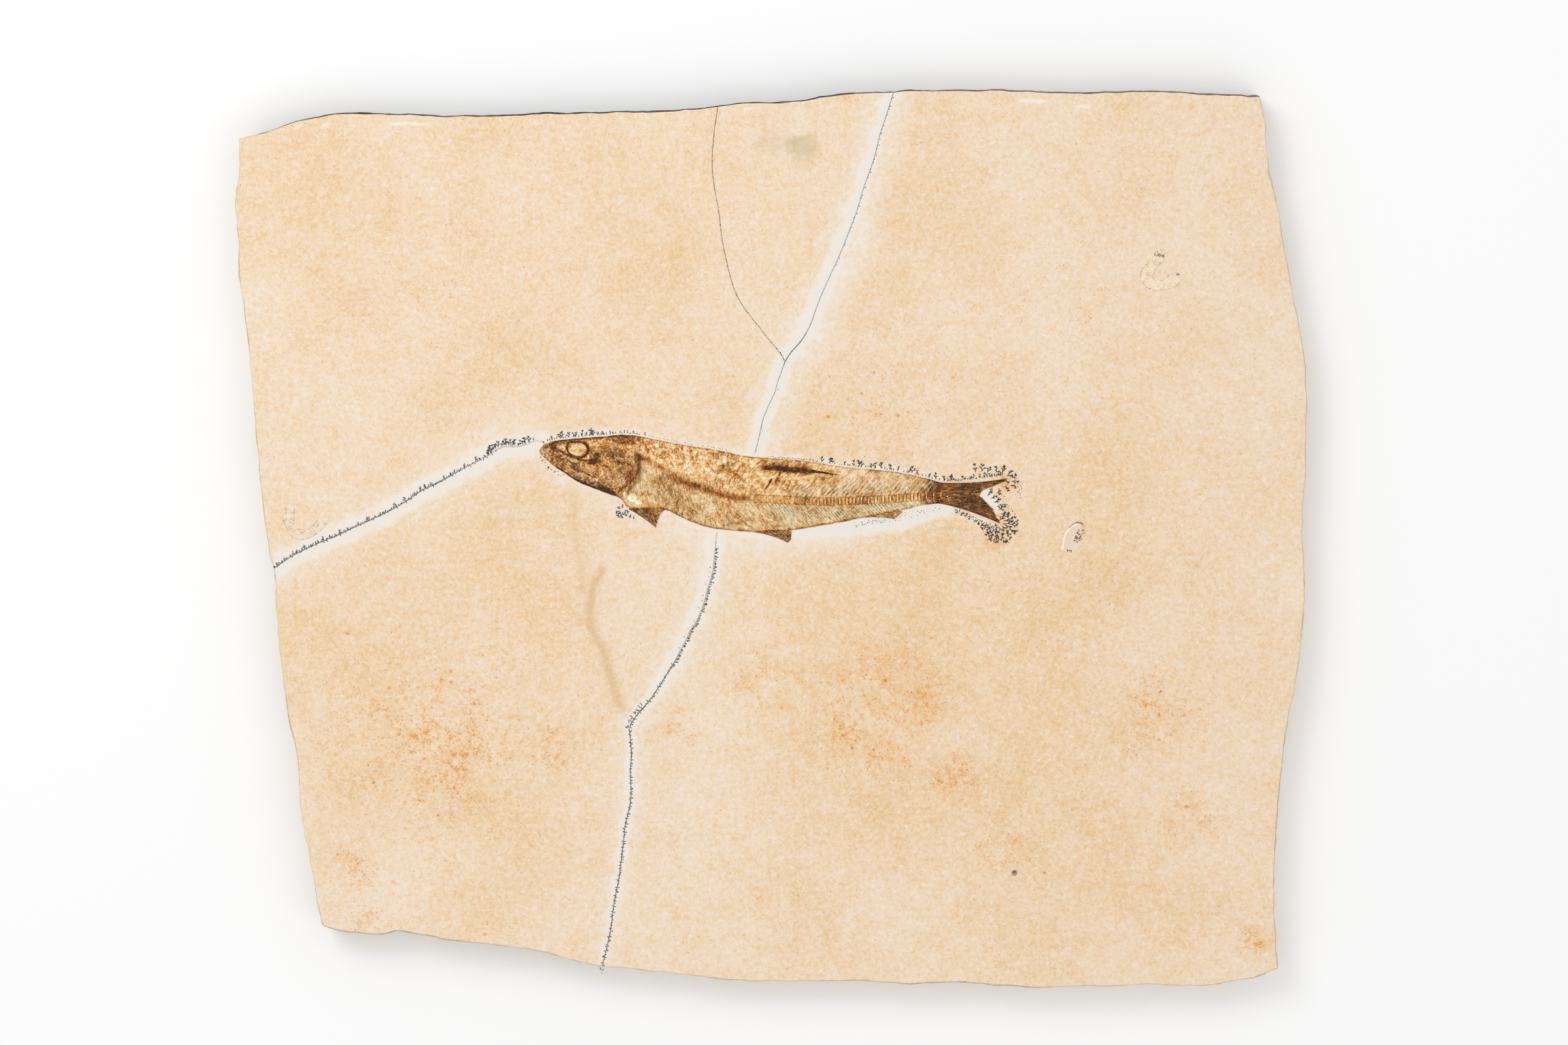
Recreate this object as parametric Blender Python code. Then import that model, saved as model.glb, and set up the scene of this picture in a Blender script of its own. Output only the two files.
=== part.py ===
"""Fossil fish slab: a split plate of fine limestone with a long slender fish lying on it.

The values below are millimetres: x runs towards the tail, y from the belly to the back of
the fish, and z up from the flat underside of the stone. MM turns them into metres.
"""
import random

import bmesh
import bpy
import numpy as np

MM = 0.001

# The stone
THICKNESS = 18.0
GAP = 0.3                  # clearance between a fossil and the bed it lies in
BODY_BED = 1.0             # depth of the bed under the skull and the trunk
THIN_BED = 0.7             # depth of the beds under fins and traces
RIM_STEP = 12.0            # spacing of the points round the rim
RIM_ROUGHNESS = 0.35       # how far a broken edge wanders in and out from point to point
LEDGE_WANDER = 0.7         # how far a ledge swings in and out along the rim
LEDGE_SWING = 0.9          # how far a ledge climbs and dips along the rim
WANDER_TURNS = (5, 9, 14, 23)          # waves round the rim that make up the wander
SEED = 11
MITRE_LIMIT = 0.25         # keeps the moved corner of a sharp point from running away
CUTTER_HEADROOM = 3.0      # how far the cutters of the beds stand above the stone

LEFT_SIDE = (
    (-278.8, 209.8), (-279.2, 190), (-281, 177), (-279.6, 160), (-278.8, 136), (-276.2, 121),
    (-273.5, 94), (-270.7, 66), (-267.2, 24), (-263.5, -4), (-260.2, -18), (-258.5, -46),
    (-253.6, -88), (-248.3, -116), (-246.6, -144), (-241, -172), (-236.1, -200), (-234.3, -203.5),
)
NEAR_SIDE = (
    (-234.3, -203.5), (-209, -207.4), (-195, -205.6), (-181, -207.7), (-153, -211.9),
    (-125, -215.1), (-97, -222.4), (-69, -226), (-41, -229), (-13, -231.5), (43, -231.5),
    (71, -232.9), (99, -232.5), (127, -234.3), (155, -234.7), (197, -233.3), (225, -234),
    (239, -232.2), (253, -229.8), (265.5, -225.2),
)
RIGHT_SIDE = (
    (265.5, -225.2), (263.6, -200), (263.5, -170), (266.5, -130), (269.7, -102), (274.6, -74),
    (278.4, -46), (279.5, -18), (278.1, 10), (279.8, 38), (280.5, 80), (277.4, 108),
    (269.3, 150), (264.8, 178), (261.3, 192), (259.5, 206), (258.5, 220), (256, 231.9),
)
FAR_SIDE = (
    (256, 231.9), (225, 233.3), (197, 234.3), (155, 233.6), (127, 234.7), (85, 234.7),
    (57, 234), (29, 231.9), (15, 229.4), (-13, 228), (-41, 225.2), (-69, 223.8),
    (-111, 222.8), (-167, 221.4), (-209, 222.8), (-225.6, 223.1), (-237, 221),
    (-251, 217.9), (-265, 213.3), (-278.8, 209.8),
)
# Height of each bed's edge, with its distance inside the outline on the plain sides and on
# the far side, which slopes out below the top face.
EDGE_STEPS = (
    (0.0, 1.8, 0.4), (1.8, 0.6, -1.0), (5.4, 0.3, -1.0), (6.5, 1.1, -0.4),
    (10.9, 0.2, 0.0), (12.0, 0.9, 0.9), (16.7, -0.2, 1.4), (18.0, 0.5, 2.6),
)
FAR_SIDE_START = 205.0     # y where the far side's slope begins to show
FAR_SIDE_FULL = 219.0

# Cracks: V grooves that run from the rim to the fish
CRACK_WIDTH = 0.8
CRACK_DEPTH = 0.8
CRACK_HEADROOM = 1.0       # how far a crack's cutter stands above the stone
CRACK_STEP = 14.0
CRACKS = {
    "crack_left": (
        (-267, -18), (-254, -10.3), (-237, -1.9), (-218, 6.5), (-200, 15.2), (-183.6, 25.4),
        (-162, 36.9), (-141.2, 48.1), (-132, 48.5), (-122.7, 51.6), (-116, 48),
    ),
    "crack_far": (
        (64.5, 239), (60.7, 223), (51.6, 193), (36.9, 151.4), (15.9, 103.8), (6.1, 92.9),
        (3.3, 78.9), (-3.3, 59), (-9.6, 40),
    ),
    "crack_branch": (
        (-28.2, 233), (-29.9, 214.4), (-31, 200), (-27.8, 173.4), (-18, 127.6), (-4.7, 109),
        (6.1, 92.9),
    ),
    "crack_near": (
        (-28.4, 8), (-29.9, -17.7), (-40.4, -43.9), (-54.8, -70.5), (-75.4, -102),
        (-74, -138.8), (-80.7, -181.1), (-89, -231),
    ),
}

# Small hollows in the top face
HOLLOW_CENTRE = (158.7, -0.2)
HOLLOW_RADII = (5.0, 9.2, 1.1)
HOLLOW_LEAN = -24.0        # degrees from the y axis
PIT_CENTRE = (127.7, -175.5)
PIT_RADII = (1.6, 1.6, 1.8)
HOLLOW_SEGMENTS = 20
HOLLOW_RINGS = 10

# The fish: back and belly lines, and the rear margin of the gill cover
BACK = (
    (-121.3, 46.8), (-116.7, 49.9), (-113.2, 51.4), (-102, 52.7), (-88.4, 53.7), (-78.6, 54.6),
    (-68.4, 53.7), (-51.6, 50.2), (-27.8, 46.4), (-13.1, 43.4), (15.9, 41), (39.4, 37.6),
    (63.9, 35.2), (80, 32), (89.1, 29.6),
)
BELLY = (
    (-121.3, 45), (-116, 39.4), (-108.7, 34.5), (-102, 30.2), (-91.2, 25.7), (-79.6, 21.4),
    (-73.7, 15.9), (-57, 15.6), (-48.1, 11.7), (-34.8, 6.5), (-21.2, 4.4), (-8.9, 3.7),
    (9.6, 4.4), (29.2, 7.5), (47.8, 11), (56, 13), (68, 14.9), (78.6, 17.5), (89.1, 18.7),
)
SNOUT_X = -121.3
TAIL_ROOT_X = 89.1
GILL_MARGIN = (            # share of the body's height from the belly, and x
    (0.0, -79.4), (0.13, -78.9), (0.27, -75.8), (0.41, -71.6), (0.53, -69.8), (0.65, -70.5),
    (0.75, -71.6), (1.0, -72.3),
)
GILL_FADE = 26.0           # length over which the trunk's stations straighten behind it
GILL_GAP = 0.4             # between the gill cover and the trunk, along x

RIM_RISE = 0.15            # how far a fossil's edge stands above the stone
FLANK_ROUNDING = 0.6       # under 1 the crown is full, with steep sides
SKULL_CROWN = 1.2
SKULL_STATIONS = 34
SNOUT_SHARE = 1 / 3        # how much of the skull's length the crown takes to build up
JAW_RISE = 0.35            # a low ridge along the lower jaw
JAW_ABOVE_BELLY = 2.4
JAW_HALF_WIDTH = 1.2
JAW_END_X = -88.0
CHEEK_GROOVE = 0.4         # the furrow in front of the gill cover
CHEEK_SHARE = 0.66         # how far along the skull the furrow lies
CHEEK_WIDTH = 0.04         # as a share of the skull's length
CHEEK_MIDDLE = 0.45        # its middle and its reach, as shares of the height
CHEEK_REACH = 0.4
GILL_COVER_RISE = 0.35
GILL_COVER_START = 0.68    # shares of the skull's length where the cover starts
GILL_COVER_BLEND = 0.15    # and over which it rises
ORBIT_CENTRE = (-101.5, 46.7)
ORBIT_RADII = (5.6, 3.6)
ORBIT_DEPTH = 0.55
ORBIT_SPREAD = 0.7         # of the sunk part, as a share of the radii
ORBIT_RING = 0.45
ORBIT_RING_WIDTH = 0.3
RIM_SHARE = 0.01           # where the relief stops, so that the rim stays even

TRUNK_FRONT = -72.0        # station where the trunk's even grid begins
VERTEBRA_PITCH = 3.8
VERTEBRAE = 18             # centra that stand clear along the rear half
FRONT_STEP = 3.0
ROWS_BELOW = (0.0, 0.08, 0.35, 0.7)    # rows as shares of the flank under the backbone
ROWS_ABOVE = (0.3, 0.62, 0.92, 1.0)    # and of the flank over it
ROWS_AT_GILL = (0.0, 0.065, 0.13, 0.2, 0.27, 0.34, 0.41, 0.53, 0.65, 0.75, 1.0)
TRUNK_CROWN = 1.25
TAIL_CROWN = 0.75
COLUMN = (                 # the backbone, seen as a low ridge along the flank
    (-66.3, 41.1), (-51.6, 33.1), (-38.3, 27.1), (-27.8, 22.9), (-7.5, 20.8), (19.1, 19.4),
    (46, 20.1), (84.9, 22.2), (95, 23),
)
COLUMN_RISE = 0.5
COLUMN_HALF_WIDTH = 1.8
COLUMN_SHARPNESS = 0.6     # width of the ridge as a share of the backbone's half width
BEAD_DEPTH = 0.6           # how far each vertebra stands out, as a share of the ridge

# Fins: root line, tip line, number of rays, cells along a ray
RAY_RISE = 0.35
RAY_FADE = 0.4             # share of the ray's rise lost at its tip
WEB_RISE = 0.3             # how far the fin's middle stands above its edges
WEB_FADE = 0.6             # share of that lost at the tips
FINS = {
    "tail_fin": dict(
        root=((89.4, 29.4), (89.4, 18.9)),
        tips=((123.4, 31.7), (121.3, 29.2), (114.6, 26.6), (108.7, 23.6), (111.1, 20.1),
              (115.3, 15.2), (119.9, 8.2)),
        rays=16, cells=6, bow=0.03),
    "pectoral_fin": dict(
        root=((-74.3, 15.4), (-70.6, 15.1)),
        tips=((-61, 6.1), (-59.3, 10), (-58.6, 13), (-57.4, 14.9)),
        rays=7, cells=4, bow=0.05),
    "pelvic_fin": dict(
        root=((-8.9, 3.3), (0, 3.5), (7.6, 3.9)),
        tips=((8.2, -1.6), (10.3, -0.2), (10.5, 3.4)),
        rays=7, cells=4, bow=0.04),
    "anal_fin": dict(
        root=((48.8, 10.8), (56, 12.6), (66, 14.2)),
        tips=((64.4, 10.7), (66.6, 12.1), (68.4, 14)),
        rays=6, cells=4, bow=0.03),
}
# The back fin is folded down on the flank, so it lies in a slot in the trunk
DORSAL_LINE = ((-3, 37.4), (6.1, 36.9), (20.1, 35.6), (34.5, 33.8))
DORSAL_WIDTHS = ((0, 0.5), (0.22, 1.35), (0.5, 1.15), (0.75, 0.75), (1, 0.3))
DORSAL_SLOT_FLOOR = 18.2
DORSAL_TOP = 19.15
DORSAL_RIDGE = 0.3
DORSAL_SECTION = (0, 1, 0.4, 1, 0)     # height across the leaf, as shares of the ridge
DORSAL_STATIONS = 16

# Curled traces, each a crowned band along a hooked line, with its half widths
TRACES = {
    "curled_trace_right": dict(
        line=((204.6, 152.3), (203.2, 147.2), (199.7, 143), (197, 138.4), (199, 134.2),
              (204.2, 133), (209.8, 135), (214.6, 138.8)),
        widths=((0, 2.2), (0.12, 3.2), (0.35, 3.2), (0.6, 3), (0.8, 3.6), (0.93, 3.2), (1, 2)),
        crown=1.1),
    "curled_trace_left": dict(
        line=((-252, 18.4), (-253.4, 12.8), (-253.2, 7.2), (-249.7, 2.8), (-244.1, 2.4),
              (-239.6, 5.2), (-235.7, 8.9), (-232.7, 10.9)),
        widths=((0, 1.8), (0.15, 3.1), (0.5, 2.7), (0.8, 2.6), (1, 1.6)),
        crown=0.7),
}
TRACE_GRID = (20, 5)
TRACE_LUMPS = 4.5          # lumps along a trace
TRACE_LUMP_DEPTH = 0.25    # how far they swell and shrink, as a share of the crown

# Finishes: a linear colour and a roughness for each kind of surface
SHARP_ANGLE = 35.0         # degrees, above which an edge is shaded sharp
FINISHES = {
    "limestone": ((0.84, 0.68, 0.48), 0.85),
    "bone": ((0.40, 0.24, 0.10), 0.6),
    "scale": ((0.52, 0.36, 0.17), 0.55),
    "fin_ray": ((0.22, 0.12, 0.04), 0.6),
    "trace_calcite": ((0.66, 0.54, 0.40), 0.75),
}


# ---------------------------------------------------------------- curves

def smooth_path(points, step):
    """A Catmull-Rom curve through the points, sampled about step apart, with both ends."""
    knots = np.array(points, float)
    padded = np.vstack([2 * knots[0] - knots[1], knots, 2 * knots[-1] - knots[-2]])
    pieces = []
    for before, start, end, after in zip(padded, padded[1:], padded[2:], padded[3:]):
        count = max(1, round(float(np.linalg.norm(end - start)) / step))
        t = np.arange(count)[:, None] / count
        pieces.append(0.5 * (
            2 * start + (end - before) * t
            + (2 * before - 5 * start + 4 * end - after) * t ** 2
            + (3 * start - before - 3 * end + after) * t ** 3))
    return np.vstack(pieces + [knots[-1:]])


def share_along(points):
    """The share of a path's length reached at each of its points."""
    lengths = np.linalg.norm(np.diff(points, axis=0), axis=1)
    reached = np.concatenate([[0.0], np.cumsum(lengths)])
    return reached / reached[-1]


def at_shares(points, shares):
    """The places on a path at the given shares of its length."""
    points = np.array(points, float)
    reached = share_along(points)
    return np.stack([np.interp(shares, reached, points[:, axis]) for axis in (0, 1)], axis=-1)


def height_of(points):
    """A function that gives the y of a line through the points at any x."""
    xs, ys = np.array(points, float).T
    return lambda x: np.interp(x, xs, ys)


back_y = height_of(BACK)
belly_y = height_of(BELLY)
column_y = height_of(COLUMN)


def outward(loop):
    """At each corner of a closed anticlockwise loop, the move that shifts both edges out by 1."""
    edge = np.roll(loop, -1, axis=0) - loop
    normal = np.stack([edge[:, 1], -edge[:, 0]], axis=1)
    normal /= np.linalg.norm(normal, axis=1, keepdims=True)
    previous = np.roll(normal, 1, axis=0)
    facing = np.sum(normal * previous, axis=1, keepdims=True)
    return (normal + previous) / np.maximum(1 + facing, MITRE_LIMIT)


def bell(distance):
    """A smooth bump, 1 at distance 0 and near nothing at 2."""
    return np.exp(-distance ** 2)


# ---------------------------------------------------------------- scene objects

def make_collection(name):
    collection = bpy.data.collections.new(name)
    bpy.context.scene.collection.children.link(collection)
    return collection


def make_material(name, colour, roughness):
    """A plain finish: a linear colour and a roughness, with no metal in it."""
    material = bpy.data.materials.new(name)
    material.use_nodes = True
    shader = material.node_tree.nodes["Principled BSDF"]
    shader.inputs["Base Color"].default_value = (*colour, 1.0)
    shader.inputs["Roughness"].default_value = roughness
    shader.inputs["Metallic"].default_value = 0.0
    return material


def add_object(name, form, collection, material=None):
    """Turn a closed bmesh in millimetres into an object in metres, faces pointing out."""
    bmesh.ops.scale(form, vec=(MM, MM, MM), verts=form.verts)
    bmesh.ops.recalc_face_normals(form, faces=form.faces)
    mesh = bpy.data.meshes.new(name)
    form.to_mesh(mesh)
    form.free()
    piece = bpy.data.objects.new(name, mesh)
    collection.objects.link(piece)
    if material:
        mesh.materials.append(material)
        mesh.shade_smooth()
        mesh.set_sharp_from_angle(angle=np.radians(SHARP_ANGLE))
    return piece


def add_cutter(name, form, collection):
    cutter = add_object(name, form, collection)
    cutter.hide_render = True
    cutter.display_type = "WIRE"
    return cutter


def cut(piece, cutter):
    modifier = piece.modifiers.new(cutter.name, "BOOLEAN")
    modifier.operation = "DIFFERENCE"
    modifier.object = cutter


# ---------------------------------------------------------------- forms

def loft(rings):
    """A closed solid through rings of equal counts, capped at both ends."""
    form = bmesh.new()
    rows = [[form.verts.new(point) for point in ring] for ring in rings]
    count = len(rows[0])
    for lower, upper in zip(rows, rows[1:]):
        for i in range(count):
            k = (i + 1) % count
            form.faces.new((lower[i], lower[k], upper[k], upper[i]))
    form.faces.new(rows[0][::-1])
    form.faces.new(rows[-1])
    return form


def prism(outline, low, high):
    """The outline carried straight up from one height to another."""
    return loft([[(x, y, z) for x, y in outline] for z in (low, high)])


def border(grid):
    """The points round the edge of a grid, in order, each once."""
    return np.vstack([grid[:-1, 0], grid[-1, :-1], grid[:0:-1, -1], grid[0, :0:-1]])


def relief_plate(plan, top, floor):
    """A plate with a grid of points as its top, straight sides and a flat underside."""
    form = bmesh.new()
    upper = [[form.verts.new((*place, z)) for place, z in zip(row, heights)]
             for row, heights in zip(plan, top)]
    for row, following in zip(upper, upper[1:]):
        for k in range(len(row) - 1):
            form.faces.new((row[k], following[k], following[k + 1], row[k + 1]))
    rim = [*(row[0] for row in upper[:-1]), *upper[-1][:-1],
           *(row[-1] for row in upper[:0:-1]), *upper[0][:0:-1]]
    base = [form.verts.new((point.co.x, point.co.y, floor)) for point in rim]
    for i, point in enumerate(rim):
        k = (i + 1) % len(rim)
        form.faces.new((rim[k], point, base[i], base[k]))
    form.faces.new(base)
    return form


def bed_outline(plan):
    """The edge of a plate's plan, moved out by the gap and turned anticlockwise."""
    edge = border(plan)
    following = np.roll(edge, -1, axis=0)
    area = np.sum(edge[:, 0] * following[:, 1] - following[:, 0] * edge[:, 1])
    if area < 0:
        edge = edge[::-1]
    return edge + GAP * outward(edge)


def groove(path):
    """A V along a path: its point below the top face and its open side above it."""
    tangent = np.gradient(path, axis=0)
    side = np.stack([-tangent[:, 1], tangent[:, 0]], axis=1)
    side /= np.linalg.norm(side, axis=1, keepdims=True)
    spread = CRACK_WIDTH / 2 * (CRACK_DEPTH + CRACK_HEADROOM) / CRACK_DEPTH
    sections = []
    for place, across in zip(path, side):
        left, right = place + spread * across, place - spread * across
        sections.append([(*left, THICKNESS + CRACK_HEADROOM), (*place, THICKNESS - CRACK_DEPTH),
                         (*right, THICKNESS + CRACK_HEADROOM)])
    return loft(sections)


def hollow_form(centre, radii, lean):
    """A ball stretched to the radii, leaned about z, its middle on the top face."""
    form = bmesh.new()
    bmesh.ops.create_uvsphere(form, u_segments=HOLLOW_SEGMENTS, v_segments=HOLLOW_RINGS, radius=1.0)
    turn = np.radians(lean)
    for vert in form.verts:
        x, y, z = vert.co.x * radii[0], vert.co.y * radii[1], vert.co.z * radii[2]
        vert.co = (centre[0] + x * np.cos(turn) - y * np.sin(turn),
                   centre[1] + x * np.sin(turn) + y * np.cos(turn), THICKNESS + z)
    return form


# ---------------------------------------------------------------- the stone

def swings(along, chance):
    """A slow wander round the closed rim, between -1 and 1: waves of random phase, summed."""
    waves = [(turns, chance.uniform(0, 2 * np.pi)) for turns in WANDER_TURNS]
    return sum(np.sin(2 * np.pi * turns * along + phase) for turns, phase in waves) / len(waves)


def slab_rings():
    """The rim at every edge step: the outline moved in, with the wander of a broken edge."""
    sides = [smooth_path(side, RIM_STEP)[:-1]
             for side in (LEFT_SIDE, NEAR_SIDE, RIGHT_SIDE, FAR_SIDE)]
    outline = np.vstack(sides)
    normal = outward(outline)
    far_share = np.clip((outline[:, 1] - FAR_SIDE_START) / (FAR_SIDE_FULL - FAR_SIDE_START), 0, 1)
    along = np.arange(len(outline)) / len(outline)
    chance = random.Random(SEED)
    rings = []
    for height, inset, far_inset in EDGE_STEPS:
        depth = inset + (far_inset - inset) * far_share
        depth = depth + LEDGE_WANDER * (1 + swings(along, chance)) / 2
        depth = depth + [chance.uniform(0, RIM_ROUGHNESS) for _ in outline]
        between_faces = 0 < height < THICKNESS
        heights = height + LEDGE_SWING * between_faces * swings(along, chance)
        ring = outline - normal * depth[:, None]
        rings.append([(x, y, z) for (x, y), z in zip(ring, heights)])
    return rings


def make_slab(collection, material):
    return add_object("limestone_slab", loft(slab_rings()), collection, material)


# ---------------------------------------------------------------- the fish

def gill_x(share):
    """The x of the gill cover's rear margin at a share of the body's height."""
    shares, xs = np.array(GILL_MARGIN).T
    return np.interp(share, shares, xs)


def body_points(x, share):
    """The places at a share of the way from belly to back, and their y."""
    y = belly_y(x) + share * (back_y(x) - belly_y(x))
    return np.stack([x, y], axis=-1), y


def skull_plate():
    """From the snout to the gill margin: a crown, a sunk ringed orbit, a raised gill cover."""
    corners = np.array(GILL_MARGIN)[:, 0]
    rows = np.sort(np.concatenate([corners, (corners[1:] + corners[:-1]) / 2]))
    s, t = np.meshgrid(np.linspace(0, 1, SKULL_STATIONS), rows, indexing="ij")
    x = SNOUT_X + s * (gill_x(t) - SNOUT_X)
    plan, y = body_points(x, t)
    crown = SKULL_CROWN * np.clip(np.sin(np.pi * t), 0, 1) ** FLANK_ROUNDING
    crown = crown * np.sqrt(np.clip(s / SNOUT_SHARE, 0, 1))
    covered = np.clip((s - GILL_COVER_START) / GILL_COVER_BLEND, 0, 1)
    gill_cover = GILL_COVER_RISE * covered * np.sqrt(np.clip(np.sin(np.pi * t), 0, 1))
    from_eye = np.hypot((x - ORBIT_CENTRE[0]) / ORBIT_RADII[0],
                        (y - ORBIT_CENTRE[1]) / ORBIT_RADII[1])
    orbit = ORBIT_RING * bell((from_eye - 1) / ORBIT_RING_WIDTH)
    orbit = orbit - ORBIT_DEPTH * bell(from_eye / ORBIT_SPREAD)
    above_belly = y - belly_y(x)
    jaw = JAW_RISE * bell((above_belly - JAW_ABOVE_BELLY) / JAW_HALF_WIDTH) * (x < JAW_END_X)
    furrow = CHEEK_GROOVE * bell((s - CHEEK_SHARE) / CHEEK_WIDTH)
    furrow = furrow * bell((t - CHEEK_MIDDLE) / CHEEK_REACH)
    away_from_rim = np.sin(np.pi * t) > RIM_SHARE
    rise = crown + gill_cover + (orbit + jaw - furrow) * away_from_rim
    return plan, THICKNESS + RIM_RISE + np.maximum(rise, 0)


def trunk_plate():
    """From the gill margin to the tail root, with the backbone's bead-like ridge."""
    bead_start = TAIL_ROOT_X - VERTEBRAE * VERTEBRA_PITCH
    front_count = round((bead_start - TRUNK_FRONT) / FRONT_STEP)
    stations = np.concatenate([
        np.linspace(TRUNK_FRONT, bead_start, front_count, endpoint=False),
        np.linspace(bead_start, TAIL_ROOT_X, 2 * VERTEBRAE + 1)])
    height = back_y(stations) - belly_y(stations)
    middle = (column_y(stations) - belly_y(stations)) / height
    half = COLUMN_HALF_WIDTH / height
    lower, upper = (middle - half)[:, None], (middle + half)[:, None]
    rows = np.hstack([lower * ROWS_BELOW, lower, middle[:, None], upper,
                      upper + (1 - upper) * ROWS_ABOVE])
    fade = np.clip(1 - (stations - TRUNK_FRONT) / GILL_FADE, 0, 1)[:, None]
    share = fade * ROWS_AT_GILL + (1 - fade) * rows
    x = stations[:, None] + fade * (gill_x(share) + GILL_GAP - TRUNK_FRONT)
    plan, y = body_points(x, share)
    along = (stations - TRUNK_FRONT) / (TAIL_ROOT_X - TRUNK_FRONT)
    fullness = (TRUNK_CROWN + (TAIL_CROWN - TRUNK_CROWN) * along)[:, None]
    crown = fullness * np.clip(np.sin(np.pi * share), 0, 1) ** FLANK_ROUNDING
    swell = np.cos(2 * np.pi * (x - bead_start) / VERTEBRA_PITCH) * (x > bead_start)
    from_column = (y - column_y(x)) / (COLUMN_SHARPNESS * COLUMN_HALF_WIDTH)
    ridge = COLUMN_RISE * (1 + BEAD_DEPTH * swell) * bell(from_column)
    return plan, THICKNESS + RIM_RISE + crown + ridge


def fin_plate(root, tips, rays, cells, bow):
    """Rays from the root line to the tip line, with a ridge on each ray.

    The first ray is one edge of the fin and the last the other. Each bows sideways by a
    share of its length, towards the fin's middle.
    """
    u = np.linspace(0, 1, 2 * rays + 1)
    v = np.linspace(0, 1, cells + 1)
    start, end = at_shares(root, u), at_shares(tips, u)
    ray = end - start
    side = np.stack([-ray[:, 1], ray[:, 0]], axis=1)
    middle = (start + end).mean(axis=0) / 2
    inward = np.sign(np.sum((middle - (start + end) / 2) * side, axis=1, keepdims=True))
    lean = bow * np.abs(2 * u - 1)[:, None] * inward * side
    plan = (start[:, None] * (1 - v)[None, :, None] + end[:, None] * v[None, :, None]
            + lean[:, None] * (4 * v * (1 - v))[None, :, None])
    ridge = RAY_RISE * np.abs(np.cos(np.pi * rays * u))[:, None] * (1 - RAY_FADE * v)[None, :]
    web = WEB_RISE * np.sin(np.pi * u)[:, None] * (1 - WEB_FADE * v)[None, :]
    return plan, THICKNESS + RIM_RISE + ridge + web


def band_plan(line, widths, grid):
    """A grid that follows a line, as wide on either side as the widths say."""
    along, across = grid
    shares = np.linspace(0, 1, along)
    centre = at_shares(smooth_path(line, 1.0), shares)
    tangent = np.gradient(centre, axis=0)
    side = np.stack([-tangent[:, 1], tangent[:, 0]], axis=1)
    side /= np.linalg.norm(side, axis=1, keepdims=True)
    places, half = np.array(widths).T
    reach = np.interp(shares, places, half)
    t = np.linspace(-1, 1, across)
    return centre[:, None] + side[:, None] * (reach[:, None] * t[None, :])[..., None]


def dorsal_plate():
    """The folded back fin: a narrow leaf with two ridges along it."""
    plan = band_plan(DORSAL_LINE, DORSAL_WIDTHS, (DORSAL_STATIONS, len(DORSAL_SECTION)))
    ridge = DORSAL_RIDGE * np.array(DORSAL_SECTION)
    return plan, DORSAL_TOP + np.broadcast_to(ridge, plan.shape[:2])


def trace_plate(line, widths, crown):
    """A curled trace: a crowned band, lumpy along its length."""
    plan = band_plan(line, widths, TRACE_GRID)
    along, across = TRACE_GRID
    s = np.linspace(0, 1, along)[:, None]
    t = np.linspace(-1, 1, across)[None, :]
    lumps = 1 + TRACE_LUMP_DEPTH * np.sin(2 * np.pi * TRACE_LUMPS * s)
    return plan, THICKNESS + RIM_RISE + crown * lumps * (1 - t ** 2) ** 0.5


def body_bed():
    """One bed outline for the skull and the trunk together, a gap wider than both."""
    xs = np.unique(np.concatenate([np.array(BACK)[:, 0], np.array(BELLY)[:, 0]]))
    lower = np.stack([xs, belly_y(xs)], axis=1)
    upper = np.stack([xs, back_y(xs)], axis=1)
    outline = np.vstack([lower, upper[::-1]])
    return outline + GAP * outward(outline)


# ---------------------------------------------------------------- assembly

def build():
    for existing in list(bpy.data.objects):
        bpy.data.objects.remove(existing, do_unlink=True)
    parts = make_collection("fossil_fish_slab")
    cutters = make_collection("cutters")

    finish = {name: make_material(name, *look) for name, look in FINISHES.items()}

    slab = make_slab(parts, finish["limestone"])
    above = THICKNESS + CUTTER_HEADROOM

    def bed(piece_name, outline, depth):
        form = prism(outline, THICKNESS - depth, above)
        cut(slab, add_cutter(f"bed_{piece_name}", form, cutters))

    bed("body", body_bed(), BODY_BED)
    body_floor = THICKNESS - BODY_BED + GAP
    thin_floor = THICKNESS - THIN_BED + GAP
    add_object("skull", relief_plate(*skull_plate(), body_floor), parts, finish["bone"])
    trunk = add_object("trunk", relief_plate(*trunk_plate(), body_floor), parts, finish["scale"])

    for name, shape in FINS.items():
        plan, top = fin_plate(**shape)
        add_object(name, relief_plate(plan, top, thin_floor), parts, finish["fin_ray"])
        bed(name, bed_outline(plan), THIN_BED)

    plan, top = dorsal_plate()
    add_object("dorsal_fin", relief_plate(plan, top, DORSAL_SLOT_FLOOR + GAP), parts, finish["fin_ray"])
    slot = prism(bed_outline(plan), DORSAL_SLOT_FLOOR, above)
    cut(trunk, add_cutter("slot_dorsal_fin", slot, cutters))

    for name, shape in TRACES.items():
        plan, top = trace_plate(**shape)
        add_object(name, relief_plate(plan, top, thin_floor), parts, finish["trace_calcite"])
        bed(name, bed_outline(plan), THIN_BED)

    for name, points in CRACKS.items():
        form = groove(smooth_path(points, CRACK_STEP))
        cut(slab, add_cutter(name, form, cutters))

    for name, centre, radii, lean in (
            ("oval_hollow", HOLLOW_CENTRE, HOLLOW_RADII, HOLLOW_LEAN),
            ("pit", PIT_CENTRE, PIT_RADII, 0.0)):
        cut(slab, add_cutter(name, hollow_form(centre, radii, lean), cutters))


build()
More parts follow.
